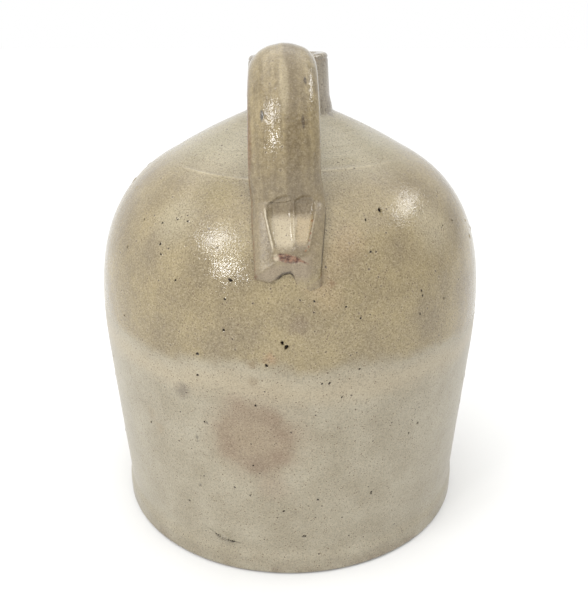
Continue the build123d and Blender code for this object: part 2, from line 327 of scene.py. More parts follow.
def throw(name, skin, rest, tree, given):
    """Makes a thrown piece from its section: the rows that are seen, and the rest of the loop."""
    section = list(skin) + list(rest)
    count = len(section)
    mesh = bpy.data.meshes.new(name + "_section")
    # The lathe's profile has its second axis pointing down
    points = [(r * MM, -z * MM, 0) for r, z in section]
    mesh.from_pydata(points, [(i, (i + 1) % count) for i in range(count)], [])
    way = np.gradient(np.array(skin), axis=0)
    way /= np.maximum(np.hypot(way[:, 0], way[:, 1]), 1e-9)[:, None]
    hidden = [0.0] * len(rest)
    for label, values in (("skin", [1.0] * len(skin)), ("out", list(way[:, 1])), ("up", list(-way[:, 0]))):
        mesh.attributes.new(label, "FLOAT", "POINT").data.foreach_set("value", values + hidden)
    piece = bpy.data.objects.new(name, mesh)
    bpy.context.scene.collection.objects.link(piece)
    modifier = piece.modifiers.new("wheel", "NODES")
    modifier.node_group = tree
    for item in tree.interface.items_tree:
        if item.name in given:
            modifier[item.identifier] = given[item.name]
    ready = piece.evaluated_get(bpy.context.evaluated_depsgraph_get())
    made = bpy.data.meshes.new_from_object(ready)
    piece.modifiers.remove(modifier)
    piece.data = made
    made.name = name
    face_outwards(made)
    return piece


def face_outwards(mesh):
    """Turns all the faces of a closed mesh outwards."""
    work = bmesh.new()
    work.from_mesh(mesh)
    bmesh.ops.recalc_face_normals(work, faces=work.faces)
    work.to_mesh(mesh)
    work.free()


# Pits in the glaze and the clay under it

pit_margin = 1.6                # width of skin that is refined round a pit
pit_cuts = 4                    # cuts of each edge there
pit_pull = 0.2                  # how far a pit is pulled to one side, and notched, as shares of its radius
pit_notch = 0.13

# Pits that are seen from the handle's side: degrees round from the handle, height, radius and depth
seen_pits = (
    (-1.7, 155.9, 1.0, 1.5), (-0.7, 153.7, 1.2, 1.8), (29.3, 216.3, 1.3, 1.6), (-53.7, 190.2, 0.9, 1.0),
    (-16.4, 160.8, 0.8, 0.8), (-5.6, 143.0, 0.9, 1.1), (-23.7, 145.1, 1.0, 0.5), (-24.0, 132.3, 0.8, 0.9),
    (-8.6, 118.5, 0.7, 0.8), (-43.5, 88.0, 0.7, 0.6), (-1.7, 47.2, 0.8, 0.9), (-31.1, 41.9, 0.7, 0.7),
    (36.8, 174.5, 0.7, 0.7), (37.0, 171.7, 0.7, 0.7), (8.1, 132.1, 0.6, 0.6), (10.0, 132.1, 0.7, 0.8),
    (13.3, 122.7, 0.6, 0.6), (38.5, 91.7, 0.8, 0.8), (35.3, 87.2, 0.7, 0.7), (23.9, 53.6, 0.7, 0.7),
    (23.9, 52.4, 0.7, 0.6), (7.9, 54.8, 0.7, 0.7), (3.9, 28.3, 0.7, 0.6), (4.5, 28.1, 0.7, 0.6),
    (22.5, 198.6, 0.7, 0.6), (23.3, 213.0, 0.7, 0.6), (45.3, 166.0, 0.6, 0.6), (45.9, 165.8, 0.6, 0.6),
    (17.7, 138.5, 0.6, 0.5), (-51.3, 152.0, 0.7, 0.6), (61.3, 216.6, 0.8, 0.7), (59.6, 202.2, 0.8, 0.7),
    (-23.1, 102.9, 0.6, 0.6), (-50.1, 206.3, 0.8, 0.7), (-41.1, 207.6, 0.7, 0.6), (-35.7, 210.7, 0.6, 0.5),
    (-31.8, 210.8, 0.7, 0.6), (-39.0, 197.9, 0.9, 0.9), (-37.8, 193.2, 0.7, 0.6), (-31.1, 182.3, 0.7, 0.6),
    (-15.1, 186.5, 1.0, 1.0), (-16.3, 176.9, 0.7, 0.7), (52.6, 202.2, 0.6, 0.5), (14.2, 173.5, 0.6, 0.5),
    (17.9, 166.7, 0.6, 0.6), (35.8, 162.2, 0.6, 0.5), (6.2, 177.4, 0.6, 0.5), (-9.9, 78.5, 0.6, 0.5),
    (-15.5, 61.3, 0.6, 0.5), (-11.1, 57.2, 0.6, 0.5), (-11.1, 7.2, 0.8, 0.5), (-9.8, 10.1, 0.6, 0.5),
)
# Burst blisters, which leave a raised ring round a shallow floor
seen_blisters = (
    (-22.4, 102.3, 1.5, 0.35), (-26.0, 90.6, 1.9, 0.3), (-26.6, 56.5, 1.5, 0.25), (-26.0, 88.0, 1.0, 0.3),
)
blister_dark = 0.3              # darkness of a blister's floor, a pit's being 1
pit_rim = 0.3                   # height of a pit's raised ring, as a share of its depth
pit_rim_place = 1.25            # middle and width of that ring, as shares of the pit's radius
pit_rim_width = 0.22
least_sink = 0.001
# Firing crack above the foot: degrees round and height of its points, fine at both ends
crack_points = ((-27.1, 26.7), (-23.0, 23.8), (-21.9, 22.9), (-17.6, 20.5), (-16.4, 20.1), (-8.9, 20.2))
crack_radii = (0.25, 0.4, 0.8, 0.8, 0.4, 0.2)
crack_step = 0.3
crack_sink = 2.2                # depth of the crack over its radius squared
full_dark = 0.6                 # radius from which a pit is dark all through
# Pits of the sides that aren't seen from there
other_pits = 90
other_sides = (65, 295)         # degrees round
other_margin = 5.0              # distance that they keep from the foot and the ring
other_radius = (0.5, 1.0)
other_depth = (0.6, 1.2)        # as a share of the radius
other_pits_seed = 11


def on_skin(azimuth, height):
    """Point of the jug's skin, from degrees round and height; 0 is the handle's side and 90 is +X."""
    radius = np.interp(height, jug_line[:, 1], jug_line[:, 0]) + glaze
    return np.array([radius * sin(radians(azimuth)), -radius * cos(radians(azimuth)), height])


def jug_pits():
    """Middle, radius, depth and darkness of all pits: those seen, the crack as a close row, the others."""
    pits = [
        (on_skin(azimuth, height), radius, depth, dark)
        for group, dark in ((seen_pits, 1.0), (seen_blisters, blister_dark))
        for azimuth, height, radius, depth in group
    ]
    ends = np.array([on_skin(*point) for point in crack_points])
    along = np.concatenate([[0], np.cumsum(np.linalg.norm(np.diff(ends, axis=0), axis=1))])
    for place in np.arange(0, along[-1], crack_step):
        middle = np.array([np.interp(place, along, ends[:, k]) for k in range(3)])
        radius = float(np.interp(place, along, crack_radii))
        pits.append((middle, radius, crack_sink * radius ** 2, min(1.0, (radius / full_dark) ** 2)))
    chance = np.random.default_rng(other_pits_seed)
    for _ in range(other_pits):
        radius = chance.uniform(*other_radius)
        azimuth = chance.uniform(*other_sides)
        spot = on_skin(azimuth, chance.uniform(wall_base + other_margin, ring_height - other_margin))
        pits.append((spot, radius, radius * chance.uniform(*other_depth), 1.0))
    return pits


def open_pits(piece, pits):
    """Refines a piece's skin round each pit, sinks it there and keeps the depth's share as an attribute."""
    mesh = piece.data
    count = len(mesh.vertices)
    spots = np.empty(count * 3, np.float32)
    mesh.vertices.foreach_get("co", spots)
    spots = spots.reshape(-1, 3) / MM
    near = np.zeros(count, bool)
    settled = []
    for middle, radius, depth, darkness in pits:
        far = np.linalg.norm(spots - middle, axis=1)
        nearest = spots[far.argmin()]
        if far.min() < pit_margin:
            # The thrown wall runs out of true, so the pit is moved in or out with it
            drift = np.hypot(*nearest[:2]) / -on_skin(0, nearest[2])[1]
            settled.append((middle * [drift, drift, 1], radius, depth, darkness))
            near |= far < radius + pit_margin
    work = bmesh.new()
    work.from_mesh(mesh)
    edges = [edge for edge in work.edges if near[edge.verts[0].index] and near[edge.verts[1].index]]
    bmesh.ops.subdivide_edges(work, edges=edges, cuts=pit_cuts, use_grid_fill=True)
    layer = work.verts.layers.float.new("pit")
    work.normal_update()
    points = list(work.verts)
    spots = np.array([point.co for point in points]) / MM
    sink, dark = np.zeros(len(points)), np.zeros(len(points))
    for middle, radius, depth, darkness in settled:
        away = spots - middle
        # No pit is round: each is pulled to one side and notched
        side = np.array([-middle[1], middle[0], 0]) / np.hypot(*middle[:2])
        angle = np.arctan2(away[:, 2], away @ side) + middle[2]
        uneven = radius * (1 + pit_pull * np.sin(2 * angle) + pit_notch * np.sin(3 * angle + middle[0]))
        far = np.linalg.norm(away, axis=1) / uneven
        bowl = np.clip(1 - far ** 2, 0, 1)
        rim = pit_rim * np.exp(-((far - pit_rim_place) / pit_rim_width) ** 2)
        sink = np.where(bowl > 0, np.maximum(sink, depth * bowl), sink - depth * rim)
        dark = np.maximum(dark, bowl * darkness)
    for i in np.flatnonzero(np.abs(sink) > least_sink):
        points[i].co -= points[i].normal * sink[i] * MM
        points[i][layer] = dark[i]
    work.to_mesh(mesh)
    work.free()


# Strap handle: path and section along the way

root_drop = 19.0                # middle of the strap's root below the rim
root_slope = 35.0               # degrees that the strap climbs as it leaves the neck
root_depth = 10.5               # where the strap begins, below the neck's skin
crest_reach = 54.0              # top of the strap from the jug's axis
front_reach = 102.0             # front of the strap from the jug's axis
front_drop = 60.0               # front of the strap below its top
landing_offset = 2.2            # where the strap lands, outside the middle of its front
foot_length = 35.5              # length of strap that lies on the dome
tail_length = 15.0              # length over which the end is smeared on
foot_seat = 1.0                 # strap's widest line above the dome
crest_roll = 5.5                # degrees that the crest is turned, right side up
crest_roll_reach = 0.7          # how far that turn is felt, in stations of the path
# Lean to the left, width, swell of the outer face and swell of the inner face at each place
root_form = (2.8, 37.0, 9.0, 6.0)
crest_form = (3.7, 36.4, 13.0, 4.5)
front_form = (2.4, 37.0, 10.0, 4.5)
landing_form = (0.4, 38.2, 8.5, 6.0)
end_form = (0.5, 34.0, 4.6, 6.0)
strap_rows = 400
strap_round = 180
path_steps = 60                 # in each stretch of the strap's path
landing_station = 3.0           # which of the path's points the landing is
height_blocks = 60              # parts in which the strap's points are measured, to spare memory
# Lengthwise grooves that the pulling hand left: spacing, depth, and how far along they drift
pull_grooves = ((11.3, 0.08, 44.0), (6.1, 0.05, 31.0))
groove_sway = 1.3               # how far they sway as they drift, in radians
groove_run = (2.0, -12.0)       # runs between which they set in, going up the strap
groove_fade = 2.5               # how fast they set in from the strap's edges
# Left half of the strap's front, flattened like a roof by the pulling hand: the power of its section,
# 2 being round, and the runs between which it is so
roof_power = 1.5
roof_run = (-85.0, -65.0, -26.0, -8.0)

# Two fingertip marks at the strap's foot, left and right, dragged down the strap as troughs. Each has, at
# its top and its bottom, its middle, half width and height of the floor over the dome; and on its left and
# right side, how high the trough rises, how far the arch over it comes down and spans from its peak, and
# how high a rim was raised. Its bend says which run a fall below the peak comes to, because the strap
# bends there.
finger_marks = (
    {"peak": -3.0, "middle": (-6.0, -2.3), "half": (7.4, 5.6), "floor": (3.2, 4.4),
     "rise": (5.5, 1.7), "arch": (10.5, 1.5), "span": (9.0, 5.0), "rim": (0.6, 0.0),
     "bend": ((0.0, 2.2, 2.8, 16.8), (-8.6, -5.0, 0.0, 10.0))},
    {"peak": 8.0, "middle": (8.2, 6.3), "half": (6.1, 3.3), "floor": (3.6, 4.9),
     "rise": (1.7, 5.5), "arch": (5.0, 9.0), "span": (6.0, 6.2), "rim": (0.0, 0.2),
     "bend": ((0.0, 3.0, 17.0), (-5.9, 0.0, 10.0))},
)
finger_run = 24.0               # length of the troughs below the landing
finger_lip = 1.7                # depth of the sharp edge of the arch
finger_edge = 4.0               # steepness of that edge
scoop_start = -2.0              # run from which a trough deepens to its floor, at its middle
scoop_length = 8.0
finger_rim_width = 0.55
finger_rim_run = (1.0, 7.0)     # runs over which a rim rises
finger_rim_end = 3.0            # how far before and after the troughs' end it sinks again
finger_wall_power = 6           # how sharply a trough's floor turns up into its sides
finger_reach = 14.0             # how far above the landing the pressing is felt
finger_bank = 2.0               # clay pushed up at the troughs' lower end
finger_bank_run = (-6.0, 2.0)   # where it rises, from the troughs' end
crease = 0.5                    # rounding where the marks cut the strap
# Chip in the bank below the marks: places across, with the run at which it begins and its length there
chip_across = (-8.6, -7.8, -4.7, -0.9, 3.2, 5.9, 9.4, 10.4)
chip_start = (27.4, 26.8, 25.0, 25.4, 26.4, 27.8, 29.6, 30.2)
chip_length = (0.0, 1.0, 4.0, 4.8, 3.8, 1.6, 0.9, 0.0)
chip_depth = 0.5
chip_edge = 0.5                 # length over which it deepens

# Torn end of the strap: places across, with the run at which its face begins, the run at which it ends, and
# the thickness left there. The left is a lip that stands off the dome, the right is smeared on.
end_across = (-17.5, -10.0, -5.0, -3.4, 0.6, 2.2, 5.0, 9.0, 17.0)
end_crest = (36.2, 31.4, 30.0, 30.0, 30.0, 29.8, 28.5, 26.0, 22.0)
end_edge = (37.4, 38.9, 36.6, 35.2, 34.4, 36.0, 42.0, 47.0, 44.0)
end_thick = (1.5, 1.7, 1.9, 2.0, 1.9, 1.3, 0.3, -0.3, -0.3)
lip_rim = 0.4                   # raised line along the top of the torn face
lip_rim_width = 0.8
lip_rim_across = (-5.0, -9.0)   # places between which it rises
smear_across = (2.0, 6.0)       # places between which the lip turns into the smear
torn_power = 1.4                # hollow of the torn face
end_fall = 0.9                  # length over which the end drops to the dome
sunk = -0.8                     # where the strap's skin runs on inside the dome
slip_bite = 0.1                 # how far the strap's underside stands in its slip
least_thickness = 0.4           # of the strap under the marks
uncut_height = 20.0             # higher than the strap's foot stands anywhere
far_from_end = -20.0            # run that stands for no torn end, on the inner face
thin_from = 3.0                 # height over the dome below which the strap counts as thin


def on_dome(run, height):
    """Point over the dome's front in the plane x = 0, a run below the landing, and the way downhill."""
    upper = jug_line[:, 1] > girth_seam
    line, normals = jug_line[upper][::-1], jug_normals[upper][::-1]
    along = np.concatenate([[0], np.cumsum(np.hypot(*np.diff(line, axis=0).T))])
    reach = front_reach - front_form[2] + landing_offset
    place = np.interp(reach, line[:, 0], along) + run
    spot = np.array([np.interp(place, along, line[:, k]) for k in (0, 1)])
    out = np.array([np.interp(place, along, normals[:, k]) for k in (0, 1)])
    spot = spot + out * height
    return np.array([0, -spot[0], spot[1]]), np.array([0, -out[1], -out[0]])


def strap_path():
    """Even points of the strap's middle line, its section, its station and its run past the landing."""
    root_way = np.array([0, -cos(radians(root_slope)), sin(radians(root_slope))])
    root_point = np.array([0, -neck_foot_radius, rim_height - root_drop]) - root_way * root_depth
    landing_point, landing_way = on_dome(0, foot_seat)
    end_point, end_way = on_dome(foot_length, foot_seat)
    tail_point, tail_way = on_dome(foot_length + tail_length, foot_seat)
    crest_point = np.array([0, -crest_reach, crest_height - crest_form[2]])
    front_point = np.array([0, front_form[2] - front_reach, crest_height - front_drop])
    points = [root_point, crest_point, front_point, landing_point, end_point, tail_point]
    ways = [root_way, np.array([0, -1, 0]), np.array([0, 0, -1]), landing_way, end_way, tail_way]
    forms = [root_form, crest_form, front_form, landing_form, end_form, end_form]
    share = np.linspace(0, 1, path_steps, endpoint=False)[:, None]
    path, section, station = [], [], []
    for i in range(len(points) - 1):
        chord = np.linalg.norm(points[i + 1] - points[i])
        path.append(
            (2 * share ** 3 - 3 * share ** 2 + 1) * points[i]
            + (share ** 3 - 2 * share ** 2 + share) * chord * ways[i]
            + (3 * share ** 2 - 2 * share ** 3) * points[i + 1]
            + (share ** 3 - share ** 2) * chord * ways[i + 1]
        )
        ease = share * share * (3 - 2 * share)
        section.append((1 - ease) * np.array(forms[i]) + ease * np.array(forms[i + 1]))
        station.append(i + share[:, 0])
    path = np.vstack(path + [points[-1]])
    section = np.vstack(section + [forms[-1]])
    station = np.concatenate(station + [[len(points) - 1.0]])
    along = np.concatenate([[0], np.cumsum(np.linalg.norm(np.diff(path, axis=0), axis=1))])
    places = np.linspace(0, along[-1], strap_rows)
    path = np.stack([np.interp(places, along, path[:, k]) for k in range(3)], 1)
    section = np.stack([np.interp(places, along, section[:, k]) for k in range(4)], 1)
    station = np.interp(places, along, station)
    path[:, 0] -= section[:, 0]
    landing_place = np.interp(landing_station, station, places)
    return path, section, station, places - landing_place


def smooth_step(low, high, value):
    """Share of the way from low to high, eased at both ends."""
    share = np.clip((value - low) / (high - low), 0, 1)
    return share * share * (3 - 2 * share)


def lower_of(first, second):
    """The lower of two surfaces, with the crease between them rounded."""
    share = np.clip(0.5 + 0.5 * (second - first) / crease, 0, 1)
    return second + (first - second) * share - crease * share * (1 - share)


def chipped(run, across):
    """Share of the chip in the bank below the finger marks."""
    start, length = (np.interp(across, chip_across, values) for values in (chip_start, chip_length))
    return smooth_step(0, chip_edge, run - start) * smooth_step(0, chip_edge, start + length - run)


def pressed(run, across, height):
    """Height over the dome of the strap's outer face, pressed with two fingertips and torn off below."""
    down = np.clip(run / finger_run, 0, 1)
    bank = finger_bank * smooth_step(finger_run + finger_bank_run[0], finger_run + finger_bank_run[1], run)
    top = height
    for mark in finger_marks:
        middle, half, floor = (
            mark[key][0] + (mark[key][1] - mark[key][0]) * down for key in ("middle", "half", "floor")
        )
        off = (across - middle) / half
        rise, rim = (np.where(off < 0, *mark[key]) for key in ("rise", "rim"))
        arch, span = (np.where(across < mark["peak"], *mark[key]) for key in ("arch", "span"))
        spanned = np.minimum(np.abs(across - mark["peak"]) / span, 1)
        brink = np.interp(arch * (1 - np.sqrt(1 - spanned ** 2)), *mark["bend"])
        deepened = smooth_step(0, scoop_length, run - np.maximum(brink, scoop_start))
        scoop = np.maximum(height - finger_lip - floor, 0) * (1 - deepened)
        side = rise * off ** finger_wall_power
        trough = floor + bank + side + scoop + finger_edge * np.maximum(brink - run, 0)
        raised = rim * np.exp(-((np.abs(off) - 1) * half / finger_rim_width) ** 2)
        rim_end = smooth_step(finger_run + finger_rim_end, finger_run - finger_rim_end, run)
        raised = raised * smooth_step(*finger_rim_run, run) * rim_end
        top = lower_of(top, trough) + raised
    top = top - chip_depth * chipped(run, across)
    crest, edge, thick = (
        np.interp(across, end_across, values) for values in (end_crest, end_edge, end_thick)
    )
    share = np.clip((run - crest) / (edge - crest), 0, 1)
    smear = smooth_step(*smear_across, across)
    fall = share ** torn_power * (1 - smear) + smooth_step(0, 1, share) * smear
    torn = top + (np.minimum(thick, top) - top) * fall
    lip_line = lip_rim * np.exp(-((run - crest) / lip_rim_width) ** 2)
    torn = torn + lip_line * smooth_step(*lip_rim_across, across)
    return torn + (sunk - torn) * smooth_step(0, end_fall, run - edge)


def above_jug(points):
    """Height of points over the jug's outside, neck included, and the outward direction there."""
    neck = np.array([[neck_foot_radius, neck_base], [neck_rim_radius, rim_height]])
    line = np.vstack([jug_line, neck])
    start, end = line[:-1], line[1:]
    run = end - start
    length = np.hypot(run[:, 0], run[:, 1])
    normal = np.stack([run[:, 1], -run[:, 0]], 1) / length[:, None]
    radius = np.hypot(points[:, 0], points[:, 1])
    heights, ways = [], []
    for block in np.array_split(np.arange(len(points)), height_blocks):
        spot = np.stack([radius[block], points[block, 2]], 1)[:, None, :]
        share = np.clip(((spot - start) * run).sum(2) / length ** 2, 0, 1)
        gap = spot - (start + share[:, :, None] * run)
        far = np.hypot(gap[:, :, 0], gap[:, :, 1])
        near = far.argmin(1)
        picked = np.arange(len(block))
        side = (gap[picked, near] * normal[near]).sum(1)
        heights.append(np.copysign(far[picked, near], side))
        ways.append(normal[near])
    heights, ways = np.concatenate(heights), np.vstack(ways)
    level = points[:, :2] / np.maximum(radius, 1e-6)[:, None]
    return heights, np.column_stack([level * ways[:, :1], ways[:, 1]])


def pull_strap(name, material):
    """Makes the pulled strap, pressed on with two fingertips and seated on its slip."""
    path, section, station, run = strap_path()
    way = np.gradient(path, axis=0)
    way /= np.linalg.norm(way, axis=1)[:, None]
    side = np.array([1.0, 0, 0]) - way * way[:, :1]
    side /= np.linalg.norm(side, axis=1)[:, None]
    up = np.cross(way, side)
    roll = radians(crest_roll) * np.exp(-((station - 1) / crest_roll_reach) ** 2)[:, None]
    side, up = side * np.cos(roll) + up * np.sin(roll), up * np.cos(roll) - side * np.sin(roll)
    turn = np.linspace(0, 2 * pi, strap_round, endpoint=False)
    half_width = section[:, 1:2] / 2
    across = half_width * np.cos(turn)[None]
    swell = np.where(np.sin(turn) > 0, section[:, 2:3], section[:, 3:4])
    run_grid = np.repeat(run[:, None], strap_round, 1)
    roof = smooth_step(*roof_run[:2], run_grid) * smooth_step(*roof_run[:1:-1], run_grid)
    power = np.where((np.sin(turn) > 0) & (np.cos(turn) < 0), 2 + (roof_power - 2) * roof, 2)
    rise = swell * np.copysign((1 - np.abs(np.cos(turn)) ** power) ** (1 / power), np.sin(turn))
    outer = np.clip(np.sin(turn) * groove_fade, 0, 1)[None]
    for spacing, depth, drift in pull_grooves:
        phase = 2 * pi * across / spacing + groove_sway * np.sin(run_grid / drift)
        rise = rise + depth * np.cos(phase) * outer * smooth_step(*groove_run, run_grid)
    grid = path[:, None] + side[:, None] * across[..., None] + up[:, None] * rise[..., None]
    points = grid.reshape(-1, 3)
    height, out = above_jug(points)
    run_flat, over = run_grid.ravel(), np.tile(np.sin(turn) > 0, strap_rows)
    face = pressed(run_flat, points[:, 0], height)
    seated = np.maximum(height, slip - slip_bite)
    under = np.minimum(seated, pressed(run_flat, points[:, 0], uncut_height) - least_thickness)
    on_foot = run_flat > -finger_reach
    target = np.where(over & on_foot, face, np.where(on_foot, under, seated))
    points = points + out * (target - height)[:, None]
    faces = []
    for i in range(strap_rows - 1):
        row, following = i * strap_round, (i + 1) * strap_round
        for k in range(strap_round):
            n = (k + 1) % strap_round
            faces.append((row + k, row + n, following + n, following + k))
    last = (strap_rows - 1) * strap_round
    faces.append(tuple(range(strap_round))[::-1])
    faces.append(tuple(range(last, last + strap_round)))
    mesh = bpy.data.meshes.new(name)
    mesh.from_pydata([tuple(p * MM) for p in points], [], faces)
    crest, edge = (np.interp(points[:, 0], end_across, values) for values in (end_crest, end_edge))
    for label, values in (
        ("rip", np.where(over, run_flat - edge, far_from_end)),
        ("thin", np.where(on_foot & over, thin_from - target, 0)),
        ("along", run_flat),
        ("across", (across / half_width * (2 * over.reshape(across.shape) - 1)).ravel()),
        ("mark", np.where(over & on_foot, height - face, 0)),
        ("torn", np.where(over, run_flat - crest, far_from_end)),
        ("chip", np.where(over, chipped(run_flat, points[:, 0]), 0)),
    ):
        mesh.attributes.new(label, "FLOAT", "POINT").data.foreach_set("value", values.astype(np.float32))
    mesh.polygons.foreach_set("use_smooth", [True] * len(mesh.polygons))
    mesh.materials.append(material)
    piece = bpy.data.objects.new(name, mesh)
    bpy.context.scene.collection.objects.link(piece)
    face_outwards(mesh)
    return piece


# Materials


def new_material(name):
    """An empty node material with its shader, and the place on the jug in millimetres."""
    material = bpy.data.materials.new(name)
    material.use_nodes = True
    tree = material.node_tree
    tree.nodes.clear()
    shader = add(tree, "BsdfPrincipled")
    add(tree, "OutputMaterial", {"Surface": shader})
    metres = add(tree, "TexCoord").outputs["Object"]
    place = add(tree, "VectorMath", {0: metres, "Scale": 1 / MM}, operation="SCALE")
    return material, tree, shader, place


# Iron specks: spacing, radius, colour and strength. The first two kinds are large enough to leave a dent
speck_kinds = ((7.4, 0.6, "#33241a", 0.95), (3.3, 0.38, "#4c3826", 0.85), (1.9, 0.42, "#4f3c27", 0.75))


def iron_specks(tree, place, ground, amount):
    """Iron in the clay that melted into the glaze: dark specks with a pale halo, and fine brown ones."""
    uneven = add(tree, "TexNoise", {"Vector": place, "Scale": 1 / 0.8, "Detail": 1.0}).outputs["Color"]
    bent = add(tree, "VectorMath", {0: uneven, 1: (1.1, 1.1, 1.1), 2: place}, operation="MULTIPLY_ADD")
    colour, dents = ground, []
    for cell, size, code, share in speck_kinds:
        cells = add(tree, "TexVoronoi", {"Vector": bent, "Scale": 1 / cell})
        far = add(tree, "Math", {0: cells, 1: cell}, operation="MULTIPLY")
        halo = add(tree, "MapRange", {
            "Value": far, "From Min": size * 2.6, "From Max": size, "To Max": 0.1,
        }, interpolation_type="SMOOTHSTEP")
        colour = add(tree, "Mix", {0: halo, 6: colour, 7: linear("#b9ad94")}, data_type="RGBA")
        spot = add(tree, "MapRange", {
            "Value": far, "From Min": size * 1.15, "From Max": size * 0.6, "To Max": share * amount,
        }, interpolation_type="SMOOTHSTEP")
        colour = add(tree, "Mix", {0: spot, 6: colour, 7: linear(code)}, data_type="RGBA")
        dents.append(spot)
    dent = add(tree, "Math", {0: dents[0], 1: dents[1]}, operation="MAXIMUM")
    return colour, dent


def tan_clouds(tree, place):
    """Tan of the twice-dipped glaze, in clouds of about 22 mm; gives the clouds and the colour."""
    cloudy = add(tree, "TexNoise", {"Vector": place, "Scale": 1 / 22, "Detail": 5.0, "Roughness": 0.6})
    clouds = add(tree, "MapRange", {"Value": cloudy, "From Min": 0.34, "From Max": 0.66})
    colour = add(tree, "Mix", {0: clouds, 6: linear("#746850"), 7: linear("#877a5b")}, data_type="RGBA")
    return clouds, colour


def clay_grain(tree, place, ground, depth):
    """Grain of the clay under the glaze, about a millimetre: dark grit, and paler glaze between."""
    grain = add(tree, "TexNoise", {"Vector": place, "Scale": 1 / 0.9, "Detail": 3.0, "Roughness": 0.7})
    colour = ground
    for start, full, share, code in ((0.48, 0.32, 0.5, "#b9ad92"), (0.51, 0.68, 1.0, "#3f3220")):
        spots = add(tree, "MapRange", {
            "Value": grain, "From Min": start, "From Max": full, "To Max": share,
        })
        seen = add(tree, "Math", {0: spots, 1: depth}, operation="MULTIPLY")
        colour = add(tree, "Mix", {0: seen, 6: colour, 7: linear(code)}, data_type="RGBA")
    return colour


def glaze_skin(tree, shader, place, dent, peel):
    """Skin of the glaze: orange peel over slow unevenness, a dent at each speck and a faint bloom."""
    fine = add(tree, "TexNoise", {"Vector": place, "Scale": 1 / 1.2, "Detail": 2.0, "Roughness": 0.55})
    slow = add(tree, "TexNoise", {"Vector": place, "Scale": 1 / 9.0, "Detail": 2.0})
    slow_height = add(tree, "Math", {0: slow, 1: 0.28}, operation="MULTIPLY")
    peel_height = add(tree, "Math", {0: fine, 1: peel, 2: slow_height}, operation="MULTIPLY_ADD")
    dented = add(tree, "Math", {0: dent, 1: -0.12, 2: peel_height}, operation="MULTIPLY_ADD")
    bump = add(tree, "Bump", {"Height": dented, "Strength": 1.0, "Distance": MM})
    tree.links.new(bump.outputs[0], shader.inputs["Normal"])
    shader.inputs["Sheen Weight"].default_value = 0.09
    shader.inputs["Sheen Roughness"].default_value = 0.2


# Stains and patches: place, size, strength and colour. The patch at (-61.5, -81.7, 210) is a painted
# reflection of the window, and on the cap the patch at (44.8, -22, 239) is painted light on its right and
# the patch at (-43.6, -33, 238.5) painted shade on its left
stains_and_painted_light = (
    ((-58.9, -105.8, 120.2), 6.0, 0.75, "#6a6153"), ((5.1, -119.5, 165.4), 6.5, 0.65, "#6d5f4e"),
    ((-81.0, -88.0, 95.0), 4.5, 0.45, "#85775f"), ((-76.0, -92.0, 87.0), 5.0, 0.45, "#85775f"),
    ((-9.8, -121.0, 146.8), 4.0, 0.45, "#8d6c50"), ((-20.0, -119.7, 143.2), 2.8, 0.6, "#75644a"),
    ((-18.6, -120.2, 133.0), 3.2, 0.55, "#756650"), ((21.3, -113.2, 184.8), 2.0, 0.7, "#5d4128"),
    ((14.0, -113.5, 186.0), 9.0, 0.35, "#907c61"), ((24.0, -108.0, 196.0), 12.0, 0.25, "#927d61"),
    ((20.3, -115.5, 177.5), 9.0, 0.3, "#8f7b60"), ((30.7, -101.3, 204.9), 11.0, 0.3, "#96805f"),
    # The second patch here, pale on the dome's upper left, is a painted reflection of the window
    ((-38.3, -77.7, 225.4), 15.0, 0.5, "#75683f"), ((-61.5, -81.7, 210.0), 16.0, 0.4, "#9d967f"),
    ((-29.5, -117.3, 118.7), 7.0, 0.35, "#7a6754"), ((-9.8, -120.1, 111.0), 7.0, 0.4, "#725f4d"),
    ((-4.9, -119.8, 100.0), 6.0, 0.4, "#715d4b"), ((-5.9, -118.6, 86.0), 6.0, 0.45, "#735f4e"),
    ((-17.3, -117.1, 78.5), 8.0, 0.45, "#6c5a4a"), ((-34.4, -114.0, 89.5), 8.0, 0.35, "#7a6754"),
    ((-9.0, -117.5, 64.0), 11.0, 0.3, "#826f5d"), ((79.0, -73.0, 205.0), 18.0, 0.4, "#a19984"),
    # The second patch here, paler on the cap's right, and the next, darker on its left, are painted light
    # and painted shade that even out the light from the left
    ((24.5, -15.0, neck_seat + 1.0), 3.5, 0.7, "#463a31"), ((44.8, -22.0, 239.0), 16.0, 0.5, "#9d9987"),
    ((-43.6, -33.0, 238.5), 16.0, 0.5, "#88826c"),
)
blotch_middle = (-18.9, -118.6, 97.0)
blotch_radius = 18.0
border_height = 141.0           # where the thick upper glaze ends
border_wander = 22.0
border_slant = 0.015            # how much higher it ends on the left
border_soft = 5.0
band_below = 13.0               # pale band below that border
band_width = 13.0


